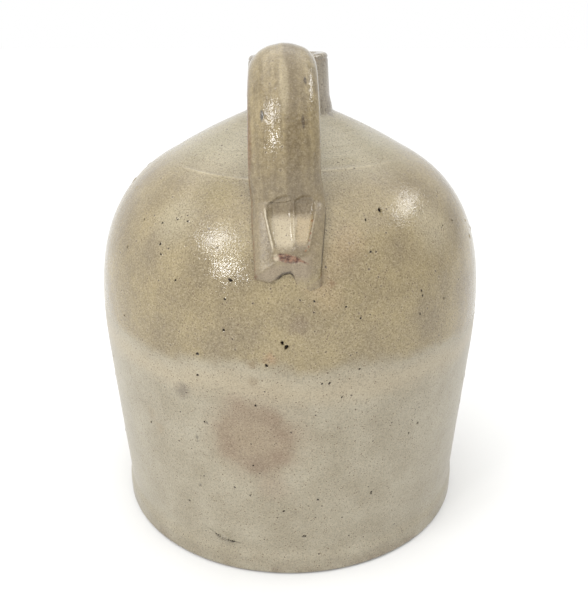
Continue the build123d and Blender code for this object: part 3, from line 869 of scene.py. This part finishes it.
def clear_glazed_stoneware():
    """Buff stoneware under a clear glaze: tan and glossy above, where it was dipped twice, grey-beige and
    satin below."""
    material, tree, shader, place = new_material("clear_glazed_stoneware")
    parts = add(tree, "SeparateXYZ", {0: place}).outputs
    level = add(tree, "CombineXYZ", {"X": parts["X"], "Y": parts["Y"]})
    radius = add(tree, "VectorMath", {0: level}, operation="LENGTH").outputs["Value"]
    # Two glazes, the wandering border between them and the pale band below it
    wander = add(tree, "TexNoise", {"Vector": place, "Scale": 1 / 46, "Detail": 4.0, "Roughness": 0.6})
    slanted = add(tree, "Math", {0: parts["X"], 1: border_slant, 2: parts["Z"]}, operation="MULTIPLY_ADD")
    border = add(tree, "Math", {0: wander, 1: border_wander, 2: slanted}, operation="MULTIPLY_ADD")
    border_middle = border_height + border_wander / 2
    zone = add(tree, "MapRange", {
        "Value": border, "From Min": border_middle - border_soft, "From Max": border_middle + border_soft,
    }, interpolation_type="SMOOTHSTEP")
    clouds, upper = tan_clouds(tree, place)
    lower = add(tree, "Mix", {0: clouds, 6: linear("#867e6b"), 7: linear("#948d7b")}, data_type="RGBA")
    band_off = add(tree, "Math", {0: border, 1: border_middle - band_below}, operation="SUBTRACT")
    band_far = add(tree, "Math", {0: band_off}, operation="ABSOLUTE")
    band = add(tree, "MapRange", {
        "Value": band_far, "From Min": band_width, "From Max": 0.0, "To Max": 0.45,
    }, interpolation_type="SMOOTHSTEP")
    banded = add(tree, "Mix", {0: band, 6: lower, 7: linear("#a1947b")}, data_type="RGBA")
    ground = add(tree, "Mix", {0: zone, 6: banded, 7: upper}, data_type="RGBA")
    # Cap and neck, where the glaze is thin and pale, with streaks up the neck
    cap_share = add(tree, "MapRange", {
        "Value": radius, "From Min": ring_radius + 18, "From Max": ring_radius - 14, "To Max": 0.75,
    }, interpolation_type="SMOOTHSTEP")
    capped = add(tree, "Mix", {0: cap_share, 6: ground, 7: linear("#968f77")}, data_type="RGBA")
    neck_share = add(tree, "MapRange", {
        "Value": radius, "From Min": neck_foot_radius + 4, "From Max": neck_foot_radius, "To Max": 0.85,
    })
    upright = add(tree, "VectorMath", {0: place, 1: (1, 1, 0.12)}, operation="MULTIPLY")
    runs = add(tree, "TexNoise", {"Vector": upright, "Scale": 1 / 2.6, "Detail": 3.0})
    run_share = add(tree, "MapRange", {"Value": runs, "From Min": 0.38, "From Max": 0.64})
    neck_tone = add(tree, "Mix", {
        0: run_share, 6: linear("#726a5f"), 7: linear("#8f877b"),
    }, data_type="RGBA")
    necked = add(tree, "Mix", {0: neck_share, 6: capped, 7: neck_tone}, data_type="RGBA")
    # Brown line below the lip, level with the slanted rim
    rim_level = add(tree, "Math", {
        0: parts["X"], 1: -tan(radians(rim_slant)), 2: parts["Z"],
    }, operation="MULTIPLY_ADD")
    lip_off = add(tree, "Math", {0: rim_level, 1: rim_height - lip_band - 0.7}, operation="SUBTRACT")
    lip_far = add(tree, "Math", {0: lip_off}, operation="ABSOLUTE")
    lip_line = add(tree, "MapRange", {"Value": lip_far, "From Min": 1.4, "From Max": 0.3, "To Max": 0.8})
    lip_share = add(tree, "Math", {0: lip_line, 1: run_share}, operation="MULTIPLY")
    lipped = add(tree, "Mix", {0: lip_share, 6: necked, 7: linear("#665340")}, data_type="RGBA")
    # Level streaks on the cap, left by the wheel
    ringwise = add(tree, "VectorMath", {0: level, 1: (0.05, 0.05, 0.0)}, operation="MULTIPLY")
    ringwise_up = add(tree, "CombineXYZ", {"Z": radius})
    lines_place = add(tree, "VectorMath", {0: ringwise, 1: ringwise_up}, operation="ADD")
    lines = add(tree, "TexNoise", {"Vector": lines_place, "Scale": 1 / 2.2, "Detail": 3.0})
    line_share = add(tree, "MapRange", {"Value": lines, "From Min": 0.5, "From Max": 0.72, "To Max": 0.6})
    cap_lines = add(tree, "Math", {0: line_share, 1: cap_share}, operation="MULTIPLY")
    streaked = add(tree, "Mix", {0: cap_lines, 6: lipped, 7: linear("#776d4e")}, data_type="RGBA")
    # Painted highlight: a pale tint along the ring's ridge, where it would catch the light
    ridge = add(tree, "Attribute", attribute_name="ridge").outputs["Fac"]
    ridge_highlight_share = add(tree, "Math", {0: ridge, 1: 0.5}, operation="MULTIPLY")
    ridge_highlit = add(tree, "Mix", {0: ridge_highlight_share, 6: streaked, 7: linear("#b8ad92")}, data_type="RGBA")
    # Foot, smudged, with a dark line at its very edge
    smudges = add(tree, "TexNoise", {"Vector": place, "Scale": 1 / 8, "Detail": 4.0})
    smudge_share = add(tree, "MapRange", {
        "Value": smudges, "From Min": 0.42, "From Max": 0.66, "To Max": 0.6,
    })
    foot_share = add(tree, "MapRange", {"Value": parts["Z"], "From Min": 14.0, "From Max": 1.0})
    smudged = add(tree, "Math", {0: smudge_share, 1: foot_share}, operation="MULTIPLY")
    footed = add(tree, "Mix", {0: smudged, 6: ridge_highlit, 7: linear("#675a4b")}, data_type="RGBA")
    edge_share = add(tree, "MapRange", {
        "Value": parts["Z"], "From Min": 2.0, "From Max": 0.3, "To Max": 0.8,
    }, interpolation_type="SMOOTHSTEP")
    colour = add(tree, "Mix", {0: edge_share, 6: footed, 7: linear("#4a3b2e")}, data_type="RGBA")
    # Brown blotch with a darker ring, and stains
    warp = add(tree, "TexNoise", {"Vector": place, "Scale": 1 / 13, "Detail": 3.0}).outputs["Color"]
    warped = add(tree, "VectorMath", {0: warp, 1: (18, 18, 18), 2: place}, operation="MULTIPLY_ADD")
    blotch_place = add(tree, "VectorMath", {0: warped, 1: (-9, -9, -9)}, operation="ADD")
    blotch_off = add(tree, "VectorMath", {0: blotch_place, 1: blotch_middle}, operation="DISTANCE")
    far = blotch_off.outputs["Value"]
    haze = add(tree, "MapRange", {
        "Value": far, "From Min": blotch_radius * 2.2, "From Max": blotch_radius * 0.4, "To Max": 0.58,
    }, interpolation_type="SMOOTHSTEP")
    colour = add(tree, "Mix", {0: haze, 6: colour, 7: linear("#7e6a53")}, data_type="RGBA")
    ring_off = add(tree, "Math", {0: far, 1: blotch_radius}, operation="SUBTRACT")
    ring_far = add(tree, "Math", {0: ring_off}, operation="ABSOLUTE")
    ring = add(tree, "MapRange", {
        "Value": ring_far, "From Min": 9.0, "From Max": 0.0, "To Max": 0.35,
    }, interpolation_type="SMOOTHSTEP")
    colour = add(tree, "Mix", {0: ring, 6: colour, 7: linear("#6f5a47")}, data_type="RGBA")
    shift = add(tree, "TexNoise", {"Vector": place, "Scale": 1 / 5, "Detail": 3.0}).outputs["Color"]
    shifted = add(tree, "VectorMath", {0: shift, 1: (6, 6, 6), 2: place}, operation="MULTIPLY_ADD")
    stain_place = add(tree, "VectorMath", {0: shifted, 1: (-3, -3, -3)}, operation="ADD")
    # Stains, and the patches of painted reflection, light and shade on the dome and cap
    for middle, size, strength, code in stains_and_painted_light:
        far = add(tree, "VectorMath", {0: stain_place, 1: middle}, operation="DISTANCE").outputs["Value"]
        share = add(tree, "MapRange", {
            "Value": far, "From Min": size * 1.3, "From Max": size * 0.2, "To Max": strength,
        }, interpolation_type="SMOOTHSTEP")
        colour = add(tree, "Mix", {0: share, 6: colour, 7: linear(code)}, data_type="RGBA")
    grain_depth = add(tree, "MapRange", {"Value": zone, "To Min": 0.42, "To Max": 0.55})
    grained = clay_grain(tree, place, colour, grain_depth)
    speckled, dent = iron_specks(tree, place, grained, 1.0)
    pit = add(tree, "Attribute", attribute_name="pit").outputs["Fac"]
    pit_share = add(tree, "MapRange", {"Value": pit, "From Min": 0.1, "From Max": 0.5})
    pitted = add(tree, "Mix", {0: pit_share, 6: speckled, 7: linear("#1c120a")}, data_type="RGBA")
    tree.links.new(pitted.outputs[2], shader.inputs["Base Color"])
    gloss = add(tree, "MapRange", {"Value": zone, "To Min": 0.3, "To Max": 0.1})
    rough = add(tree, "Math", {0: clouds, 1: 0.06, 2: gloss}, operation="MULTIPLY_ADD")
    pit_rough = add(tree, "Math", {0: pit_share, 1: 0.8}, operation="MULTIPLY")
    duller = add(tree, "Math", {0: rough, 1: pit_rough}, operation="MAXIMUM")
    tree.links.new(duller.outputs[0], shader.inputs["Roughness"])
    glaze_skin(tree, shader, place, dent, 0.16)
    return material


# Patches on the strap: place across, as a share of its half width, and along it, half sizes, strength
# and colour
strap_patches = (
    (0.07, -58.0, 0.15, 14.0, 0.4, "#aa9e80"), (-0.56, -45.0, 0.05, 3.0, 0.9, "#454444"),
    (0.54, -41.0, 0.05, 3.4, 0.75, "#3c3024"), (0.65, -60.0, 0.05, 2.0, 0.85, "#30261c"),
    (-0.98, -33.0, 0.11, 16.0, 0.55, "#60411c"), (-0.34, 27.2, 0.09, 1.6, 0.6, "#b9ad95"),
    (0.645, 9.0, 0.03, 0.7, 0.8, "#74492b"), (0.63, 12.0, 0.02, 0.5, 0.8, "#74492b"),
    (0.605, 15.5, 0.03, 0.8, 0.8, "#6b4227"), (0.59, 19.0, 0.03, 0.6, 0.8, "#74492b"),
    (0.57, 22.0, 0.03, 0.7, 0.8, "#6b4227"), (0.5, 24.0, 0.03, 0.6, 0.8, "#74492b"),
    (-0.93, 36.2, 0.04, 0.8, 0.4, "#5d3a22"),
)


def glazed_strap():
    """The same glaze on the pulled strap: streaks run along it, brown clay shows at edges and torn end."""
    material, tree, shader, place = new_material("glazed_pulled_strap")
    along, across, mark, torn, rip, thin, chip = (
        add(tree, "Attribute", attribute_name=name).outputs["Fac"]
        for name in ("along", "across", "mark", "torn", "rip", "thin", "chip")
    )
    wide = add(tree, "Math", {0: across, 1: 18.0}, operation="MULTIPLY")
    long = add(tree, "Math", {0: along, 1: 1 / 12}, operation="MULTIPLY")
    strap_place = add(tree, "CombineXYZ", {"X": wide, "Y": long})
    streaks = add(tree, "TexNoise", {"Vector": strap_place, "Scale": 1 / 3.2, "Detail": 4.0})
    mottle = add(tree, "TexNoise", {"Vector": place, "Scale": 1 / 4.5, "Detail": 4.0, "Roughness": 0.65})
    both = add(tree, "Math", {0: streaks, 1: mottle}, operation="ADD")
    flecks = add(tree, "TexNoise", {"Vector": place, "Scale": 1 / 1.7, "Detail": 3.0})
    # Place across of the painted shadow in the gap under the lip
    gap_shadow_off = add(tree, "Math", {0: across, 1: 0.09}, operation="ADD")
    gap_shadow_far = add(tree, "Math", {0: gap_shadow_off}, operation="ABSOLUTE")
    # How much of a mark is seen: what it follows, where it begins, where it is full, and its strength there
    shares = {"chip": chip}
    for name, source, start, full, strength in (
        ("tone", both, 0.82, 1.18, 1.0),
        # Painted light that makes the crest paler where it faces up, painted shade in a darker band right
        # of the middle, on the side turned from the light, with a plain left edge, and a greyer stretch
        # above the finger marks
        ("crest", along, -55.0, -90.0, 0.4),
        ("right_shade_start", across, 0.0, 0.12, 0.62),
        ("right_shade_end", across, 0.75, 0.35, 1.0),
        ("grey", along, -42.0, -8.0, 0.4),
        # Finger marks: painted shade under the arches, a floor painted paler, partly as the light on its
        # upturned face and partly where the glaze is thin, tanner there on the right, and a painted
        # highlight along the raised rims
        ("shade_in", mark, 0.3, 1.0, 0.3),
        ("shade_end", along, 8.0, 2.0, 1.0),
        ("deep", mark, 0.4, 2.5, 0.8),
        ("floor_top", along, 3.5, 8.0, 1.0),
        ("floor_end", along, 27.0, 22.0, 1.0),
        ("right", across, 0.16, 0.26, 1.0),
        ("raised", mark, -0.1, -0.4, 0.55),
        # Torn face, painted grey as the shade of a face turned down, and the chip in the bank above it,
        # down to reddish clay
        ("torn_face", torn, -0.5, 1.5, 0.75),
        ("torn_side", across, 0.8, 0.5, 1.0),
        ("flecks", flecks, 0.38, 0.6, 1.0),
        # Brown clay along the left edge, where the glaze drew back, and painted shade in the crease where
        # the foot's right edge meets the dome
        ("left_line", across, -0.94, -0.99, 1.0),
        ("right_crease_line", across, 0.96, 0.99, 0.9),
        ("crease_shade_start", along, 0.0, 6.0, 1.0),
        ("crease_shade_end", along, 35.0, 30.0, 1.0),
        # Smear, which takes the dome's colour as it thins out, painted shadow in the gap under the lip, and
        # the root
        ("smear_thin", thin, 0.2, 2.2, 1.0),
        ("smear_side", across, 0.1, 0.4, 1.0),
        ("smear_run", along, 24.0, 32.0, 1.0),
        ("gap_shadow_across", gap_shadow_far, 0.34, 0.22, 1.0),
        ("gap_shadow_run", rip, -1.3, -0.5, 0.9),
        ("root", along, -105.0, -118.0, 1.0),
        # Wear that dulls the foot
        ("worn", along, -12.0, 4.0, 0.25),
    ):
        shares[name] = add(tree, "MapRange", {
            "Value": source, "From Min": start, "From Max": full, "To Max": strength,
        }, interpolation_type="SMOOTHSTEP" if name in ("crest", "grey") else "LINEAR")
    for name, first, second in (
        ("band", "right_shade_start", "right_shade_end"), ("shade", "shade_in", "shade_end"),
        ("floor_run", "floor_top", "floor_end"), ("pale", "deep", "floor_run"),
        ("rim", "raised", "floor_end"), ("torn_face_shade", "torn_face", "torn_side"),
        ("left_edge", "left_line", "flecks"),
        ("crease_shade_run", "crease_shade_start", "crease_shade_end"), ("joint", "right_crease_line", "crease_shade_run"),
        ("smear_place", "smear_side", "smear_run"), ("smear", "smear_thin", "smear_place"),
        ("gap", "gap_shadow_across", "gap_shadow_run"),
    ):
        shares[name] = add(tree, "Math", {0: shares[first], 1: shares[second]}, operation="MULTIPLY")
    colour, floor, clay = (
        add(tree, "Mix", {0: shares[name], 6: linear(low), 7: linear(high)}, data_type="RGBA")
        for name, low, high in (
            ("tone", "#685b42", "#857758"),
            ("right", "#a89c83", "#9d8d6f"),
            ("flecks", "#7c5a45", "#42251b"),
        )
    )
    # Tints in turn: crest painted paler as light, band painted darker as shade, the grey stretch, painted
    # shade under the arches, floor painted paler, partly as light, painted highlight on the rims, torn face
    # painted grey as shade, and the chip
    for name, tint in (
        ("crest", linear("#938666")), ("band", linear("#52442c")), ("grey", linear("#6d6252")),
        ("shade", linear("#6a5e4f")), ("pale", floor), ("rim", linear("#c6bca5")),
        ("torn_face_shade", linear("#857865")), ("chip", clay),
    ):
        colour = add(tree, "Mix", {0: shares[name], 6: colour, 7: tint}, data_type="RGBA")
    uneven = add(tree, "TexNoise", {"Vector": place, "Scale": 1 / 2.5, "Detail": 2.0}).outputs["Color"]
    spot = add(tree, "CombineXYZ", {"X": across, "Y": along})
    moved = add(tree, "VectorMath", {0: uneven, 1: (0.06, 2.0, 0.0), 2: spot}, operation="MULTIPLY_ADD")
    for middle, run, half_width, half_length, strength, code in strap_patches:
        off = add(tree, "VectorMath", {0: moved, 1: (middle + 0.03, run + 1.0, 0)}, operation="SUBTRACT")
        scaled = add(tree, "VectorMath", {
            0: off, 1: (1 / half_width, 1 / half_length, 0),
        }, operation="MULTIPLY")
        far = add(tree, "VectorMath", {0: scaled}, operation="LENGTH").outputs["Value"]
        share = add(tree, "MapRange", {
            "Value": far, "From Min": 1.25, "From Max": 0.5, "To Max": strength,
        }, interpolation_type="SMOOTHSTEP")
        colour = add(tree, "Mix", {0: share, 6: colour, 7: linear(code)}, data_type="RGBA")
    # Brown left edge, painted shade in the crease at the right edge, smear, painted shadow in the gap under
    # the lip, and root
    for name, tint in (
        ("left_edge", linear("#6b4a30")), ("joint", linear("#2a2019")),
        ("smear", tan_clouds(tree, place)[1]), ("gap", linear("#2a2019")), ("root", linear("#867e72")),
    ):
        colour = add(tree, "Mix", {0: shares[name], 6: colour, 7: tint}, data_type="RGBA")
    grained = clay_grain(tree, place, colour, 0.32)
    speckled, dent = iron_specks(tree, place, grained, 0.6)
    tree.links.new(speckled.outputs[2], shader.inputs["Base Color"])
    rough = add(tree, "MapRange", {"Value": mottle, "To Min": 0.03, "To Max": 0.12})
    glossy = add(tree, "Math", {0: 1.0, 1: shares["deep"]}, operation="SUBTRACT")
    wiped = add(tree, "Math", {0: shares["worn"], 1: glossy, 2: rough}, operation="MULTIPLY_ADD")
    dull = add(tree, "Math", {0: shares["torn_face_shade"], 1: 0.2, 2: wiped}, operation="MULTIPLY_ADD")
    tree.links.new(dull.outputs[0], shader.inputs["Roughness"])
    glaze_skin(tree, shader, place, dent, 0.16)
    return material


def brown_slip_lining():
    """Iron-rich slip washed round the inside: dark brown, glossy, redder where it ran thin."""
    material, tree, shader, place = new_material("brown_slip_lining")
    runs = add(tree, "VectorMath", {0: place, 1: (1, 1, 0.25)}, operation="MULTIPLY")
    cloud = add(tree, "TexNoise", {"Vector": runs, "Scale": 1 / 9, "Detail": 4.0})
    share = add(tree, "MapRange", {"Value": cloud, "From Min": 0.35, "From Max": 0.68})
    colour = add(tree, "Mix", {0: share, 6: linear("#3a2418"), 7: linear("#6a4529")}, data_type="RGBA")
    speckled, dent = iron_specks(tree, place, colour, 0.5)
    tree.links.new(speckled.outputs[2], shader.inputs["Base Color"])
    rough = add(tree, "MapRange", {"Value": cloud, "To Min": 0.2, "To Max": 0.42})
    tree.links.new(rough.outputs[0], shader.inputs["Roughness"])
    glaze_skin(tree, shader, place, dent, 0.22)
    return material


def bare_stoneware():
    """Unglazed buff clay of the underside: matt and gritty, with curved lines where a wire cut it off."""
    material, tree, shader, place = new_material("bare_fired_stoneware")
    arcs = add(tree, "VectorMath", {0: place, 1: (0, 160, 0)}, operation="DISTANCE").outputs["Value"]
    arc_place = add(tree, "CombineXYZ", {"X": arcs})
    wire = add(tree, "TexNoise", {"Vector": arc_place, "Scale": 1 / 3.0, "Detail": 3.0})
    cloud = add(tree, "TexNoise", {"Vector": place, "Scale": 1 / 30, "Detail": 4.0})
    share = add(tree, "MapRange", {"Value": cloud, "From Min": 0.35, "From Max": 0.65})
    colour = add(tree, "Mix", {0: share, 6: linear("#9b8468"), 7: linear("#b29c7e")}, data_type="RGBA")
    speckled, dent = iron_specks(tree, place, colour, 0.8)
    tree.links.new(speckled.outputs[2], shader.inputs["Base Color"])
    grit = add(tree, "TexNoise", {"Vector": place, "Scale": 1 / 0.8, "Detail": 3.0})
    wire_height = add(tree, "Math", {0: wire, 1: 0.5}, operation="MULTIPLY")
    height = add(tree, "Math", {0: grit, 1: 0.2, 2: wire_height}, operation="MULTIPLY_ADD")
    bump = add(tree, "Bump", {"Height": height, "Distance": MM})
    tree.links.new(bump.outputs[0], shader.inputs["Normal"])
    rough = add(tree, "MapRange", {"Value": grit, "To Min": 0.75, "To Max": 0.95})
    tree.links.new(rough.outputs[0], shader.inputs["Roughness"])
    return material


def fired_slip():
    """Liquid clay that was squeezed out of a joint and fired: matt brown, finely cracked."""
    material, tree, shader, place = new_material("fired_clay_slip")
    cloud = add(tree, "TexNoise", {"Vector": place, "Scale": 1 / 4, "Detail": 4.0})
    share = add(tree, "MapRange", {"Value": cloud, "From Min": 0.35, "From Max": 0.65})
    colour = add(tree, "Mix", {0: share, 6: linear("#4d3b2b"), 7: linear("#857258")}, data_type="RGBA")
    tree.links.new(colour.outputs[2], shader.inputs["Base Color"])
    grit = add(tree, "TexNoise", {"Vector": place, "Scale": 1 / 0.7, "Detail": 2.0})
    bump = add(tree, "Bump", {"Height": grit, "Distance": 0.15 * MM})
    tree.links.new(bump.outputs[0], shader.inputs["Normal"])
    rough = add(tree, "MapRange", {"Value": cloud, "To Min": 0.6, "To Max": 0.85})
    tree.links.new(rough.outputs[0], shader.inputs["Roughness"])
    return material


def white_paper():
    """Matt white background paper, with a barely seen unevenness."""
    material, tree, shader, place = new_material("matt_white_paper")
    fibres = add(tree, "TexNoise", {"Vector": place, "Scale": 1 / 60, "Detail": 2.0})
    colour = add(tree, "Mix", {0: fibres, 6: linear("#d6d6d5"), 7: linear("#d9d9d8")}, data_type="RGBA")
    tree.links.new(colour.outputs[2], shader.inputs["Base Color"])
    shader.inputs["Roughness"].default_value = 1.0
    shader.inputs["Specular IOR Level"].default_value = 0.0
    return material


glaze_material = clear_glazed_stoneware()
lining_material = brown_slip_lining()
bare_material = bare_stoneware()
slip_material = fired_slip()
strap_material = glazed_strap()

# Pieces

wheel = wheel_tree()
thrown = {
    "Turn Steps": turn_steps, "Wheel Radius": 100 * MM, "Wobble": 0.9 * MM, "Wobble Size": 110 * MM,
    "Ring Depth": 0.3 * MM, "Ring Spacing": 7 * MM, "Ring Drift": (0.12, 0.12, 1.0),
    "Ridge Radius": (ring_radius + 0.6) * MM, "Ridge Climb": 7.6 * MM, "Ridge Height": 0.5 * MM,
    "Ridge Width": 0.8 * MM, "Ridge Front": 62 * MM, "Dip Share": 0.55, "Dip Offset": 3.4 * MM,
    "Patch Size": 33 * MM, "Seed": 3.0,
    "Glaze": glaze_material, "Lining": lining_material,
}
girth_joint = (girth_seam + dome_base) / 2
ring_joint = height_at(ring_radius - slip / 2, -glaze)
ridge_foot = height_at(ring_radius + fine_below, -glaze)
ridge_head = height_at(ring_radius - fine_above, -glaze)
flare = foot_radius - wall_foot_radius - glaze


def flared(rows):
    """Rows of the wall's outside, flared at the foot to meet the slab."""
    return [(r + flare * (1 - smooth_step(wall_base, wall_base + foot_cove, z)), z) for r, z in rows]


wall_skin = flared(stretch(-glaze, wall_base, girth_joint, skin_step))
slab = throw(
    "foot_slab_clay",
    [(foot_radius - wiped_width, 0)]
    + rounded((foot_radius, 0), (-1, 0), (0, 1), foot_edge_radius)
    + [(foot_radius, z) for z in np.linspace(foot_edge_radius, wall_base, foot_rows)[1:-1]]
    + [wall_skin[0]],
    [(0, foot_top), (0, 0), (foot_radius - wiped_width - row_gap, 0)],
    wheel, {**thrown, "Lining": bare_material},
)
lower_wall = throw(
    "lower_wall_clay",
    wall_skin,
    [(girth_step, girth_seam), (girth_step, tongue_top)]
    + stretch(wall, wall_base, tongue_top, hidden_step)[::-1]
    + [(wall_foot_radius, wall_base)],
    wheel, thrown,
)
dome = throw(
    "shoulder_dome_clay",
    stretch(-glaze, girth_joint, ridge_foot, skin_step)
    + stretch(-glaze, ridge_foot, ring_joint, ridge_step)[1:],
    [(ring_radius, ring_height), (ring_radius, ring_ledge), (ring_step, ring_ledge)]
    + stretch(wall, dome_base + lap, height_at(ring_step, wall), hidden_step)[::-1]
    + [(girth_step + slip, dome_base + lap), (girth_step + slip, dome_base)],
    wheel, thrown,
)
cap = throw(
    "shoulder_cap_clay",
    stretch(-glaze, ring_joint, ridge_head, ridge_step)
    + stretch(-glaze, ridge_head, neck_seat, skin_step)[1:],
    [(hole_radius, neck_seat)]
    + stretch(wall, height_at(ring_step - slip, wall), height_at(hole_radius, wall), hidden_step)[::-1]
    + [(ring_step - slip, ring_ledge + slip), (ring_radius - slip, ring_ledge + slip)],
    wheel, thrown,
)


def lean_neck(piece):
    """Leans the neck's outside off its bore and slants its rim, as a hand on the wheel leaves them."""
    points = np.array([point.co for point in piece.data.vertices]) / MM
    radius = np.hypot(points[:, 0], points[:, 1])
    outside = smooth_step(mouth_radius + bore_margin, neck_rim_radius - skin_margin, radius)
    lean = neck_lean * outside * smooth_step(neck_seat + lean_run[0], neck_seat + lean_run[1], points[:, 2])
    lift = np.clip((points[:, 2] - neck_seat - slant_start) / (rim_height - neck_seat - slant_start), 0, 1)
    points[:, 2] += tan(radians(rim_slant)) * points[:, 0] * lift
    points[:, 0] -= lean
    piece.data.vertices.foreach_set("co", (points * MM).astype(np.float32).ravel())


fillet_turn = np.linspace(0, pi / 2, fillet_rows)
fillet_base = height_at(neck_foot_radius + glaze + neck_fillet, -glaze) - fillet_sink
neck_side_base = fillet_base + neck_fillet
band_base = rim_height - lip_band
side_rise = np.linspace(0, 1, neck_rows)
neck = throw(
    "neck_collar_clay",
    [
        (neck_foot_radius + glaze + neck_fillet * (1 - sin(t)), neck_side_base - neck_fillet * cos(t))
        for t in fillet_turn
    ]
    + [(neck_foot_radius + glaze + (neck_rim_radius - neck_foot_radius) * s,
        neck_side_base + (band_base - neck_side_base) * s) for s in side_rise[1:-1]]
    + [
        (neck_rim_radius - lip_groove, band_base - lip_step),
        (neck_rim_radius + lip_proud, band_base + lip_step),
    ]
    + rounded((neck_rim_radius + lip_proud, rim_height), (0, -1), (-1, 0), lip_radius)
    + rounded((mouth_radius, rim_height), (1, 0), (0, -1), lip_radius),
    [(mouth_radius, spigot_base), (mouth_radius + spigot_wall, spigot_base),
     (mouth_radius + spigot_wall, neck_base), (neck_foot_radius, neck_base)],
    wheel, {**thrown, "Ring Depth": 0.2 * MM, "Ring Spacing": 4 * MM},
)
lean_neck(neck)
pits = jug_pits()
for piece in (slab, lower_wall, dome):
    open_pits(piece, pits)
handle = pull_strap("strap_handle_clay", strap_material)

for piece, node, slot in (
    (slab, "foot_slab", "bare_stoneware"),
    (lower_wall, "lower_wall", "glazed_stoneware"),
    (dome, "shoulder_dome", "glazed_stoneware"),
    (cap, "shoulder_cap", "glazed_stoneware"),
    (neck, "neck_collar", "glazed_stoneware"),
    (handle, "strap_handle", "glazed_stoneware"),
):
    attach(piece, "root")
    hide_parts(node)
for node in frame["nodes"]:
    if "slip" in node:
        materials = frame["nodes"][node].data.materials
        materials.clear()
        materials.append(glaze_material if "handle" in node else slip_material)

# Studio, in metres

floor_half = 6.0
light_aim = 0.15                # height that the lights face
camera_place = (2.4, -455.2, 314.3)     # in millimetres
camera_dip = 21.93              # degrees below level
camera_lens = 43.26

floor_mesh = bpy.data.meshes.new("studio_floor")
floor_corners = [(x * floor_half, y * floor_half, 0) for x, y in ((-1, -1), (1, -1), (1, 1), (-1, 1))]
floor_mesh.from_pydata(floor_corners, [], [(0, 1, 2, 3)])
floor = bpy.data.objects.new("studio_floor", floor_mesh)
floor_mesh.materials.append(white_paper())
bpy.context.scene.collection.objects.link(floor)

world = bpy.data.worlds.new("white_room")
world.use_nodes = True
bpy.context.scene.world = world
sky = world.node_tree
# The room is white. It lights the jug a little less from the right
world_way = add(sky, "TexCoord").outputs["Generated"]
world_parts = add(sky, "SeparateXYZ", {0: world_way}).outputs
world_tone = add(sky, "MapRange", {"Value": world_parts["X"], "To Min": 1.0, "To Max": 0.68})
world_seen = add(sky, "LightPath").outputs["Is Camera Ray"]
world_light = add(sky, "Math", {0: world_tone, 1: world_seen}, operation="MAXIMUM")
background = sky.nodes["Background"]
background.inputs["Color"].default_value = (1, 1, 1, 1)
sky.links.new(world_light.outputs[0], background.inputs["Strength"])


def soft_box(name, azimuth, elevation, away, width, height, power):
    """A light that faces the jug from a direction; azimuth 0 is the handle's side, 90 is +X."""
    data = bpy.data.lights.new(name, "AREA")
    data.shape = "RECTANGLE"
    data.size = width
    data.size_y = height
    data.energy = power
    lamp = bpy.data.objects.new(name, data)
    around, over = radians(azimuth), radians(elevation)
    back = np.array([sin(around) * cos(over), -cos(around) * cos(over), sin(over)])
    lamp.location = back * away + np.array([0, 0, light_aim])
    lamp.rotation_euler = (pi / 2 - over, 0, around)
    bpy.context.scene.collection.objects.link(lamp)
    return lamp


soft_box("window_upper_pane", azimuth=-51, elevation=39.5, away=1.3, width=0.28, height=0.26, power=3.5)
soft_box("window_lower_pane", azimuth=-37, elevation=23, away=1.3, width=0.13, height=0.13, power=2.4)
soft_box("side_light", azimuth=104, elevation=38.5, away=1.3, width=0.54, height=0.08, power=2.0)
soft_box("left_wall", azimuth=-82, elevation=18, away=1.3, width=1.0, height=0.9, power=1)
# The wall behind the camera is too dull to be mirrored in the glaze
front_wall = soft_box("front_wall", azimuth=10, elevation=20, away=1.8, width=1.2, height=1.0, power=7.6)
front_wall.visible_glossy = False

ceiling_data = bpy.data.lights.new("ceiling_light", "SUN")
ceiling_data.energy = 2.0
ceiling_data.angle = radians(100)
ceiling = bpy.data.objects.new("ceiling_light", ceiling_data)
bpy.context.scene.collection.objects.link(ceiling)

camera_data = bpy.data.cameras.new("photo_camera")
camera_data.sensor_width = 36
camera_data.lens = camera_lens
camera = bpy.data.objects.new("photo_camera", camera_data)
camera.location = [value * MM for value in camera_place]
camera.rotation_euler = (radians(90 - camera_dip), 0, 0)
bpy.context.scene.collection.objects.link(camera)
bpy.context.scene.camera = camera
bpy.context.scene.view_settings.view_transform = "Standard"
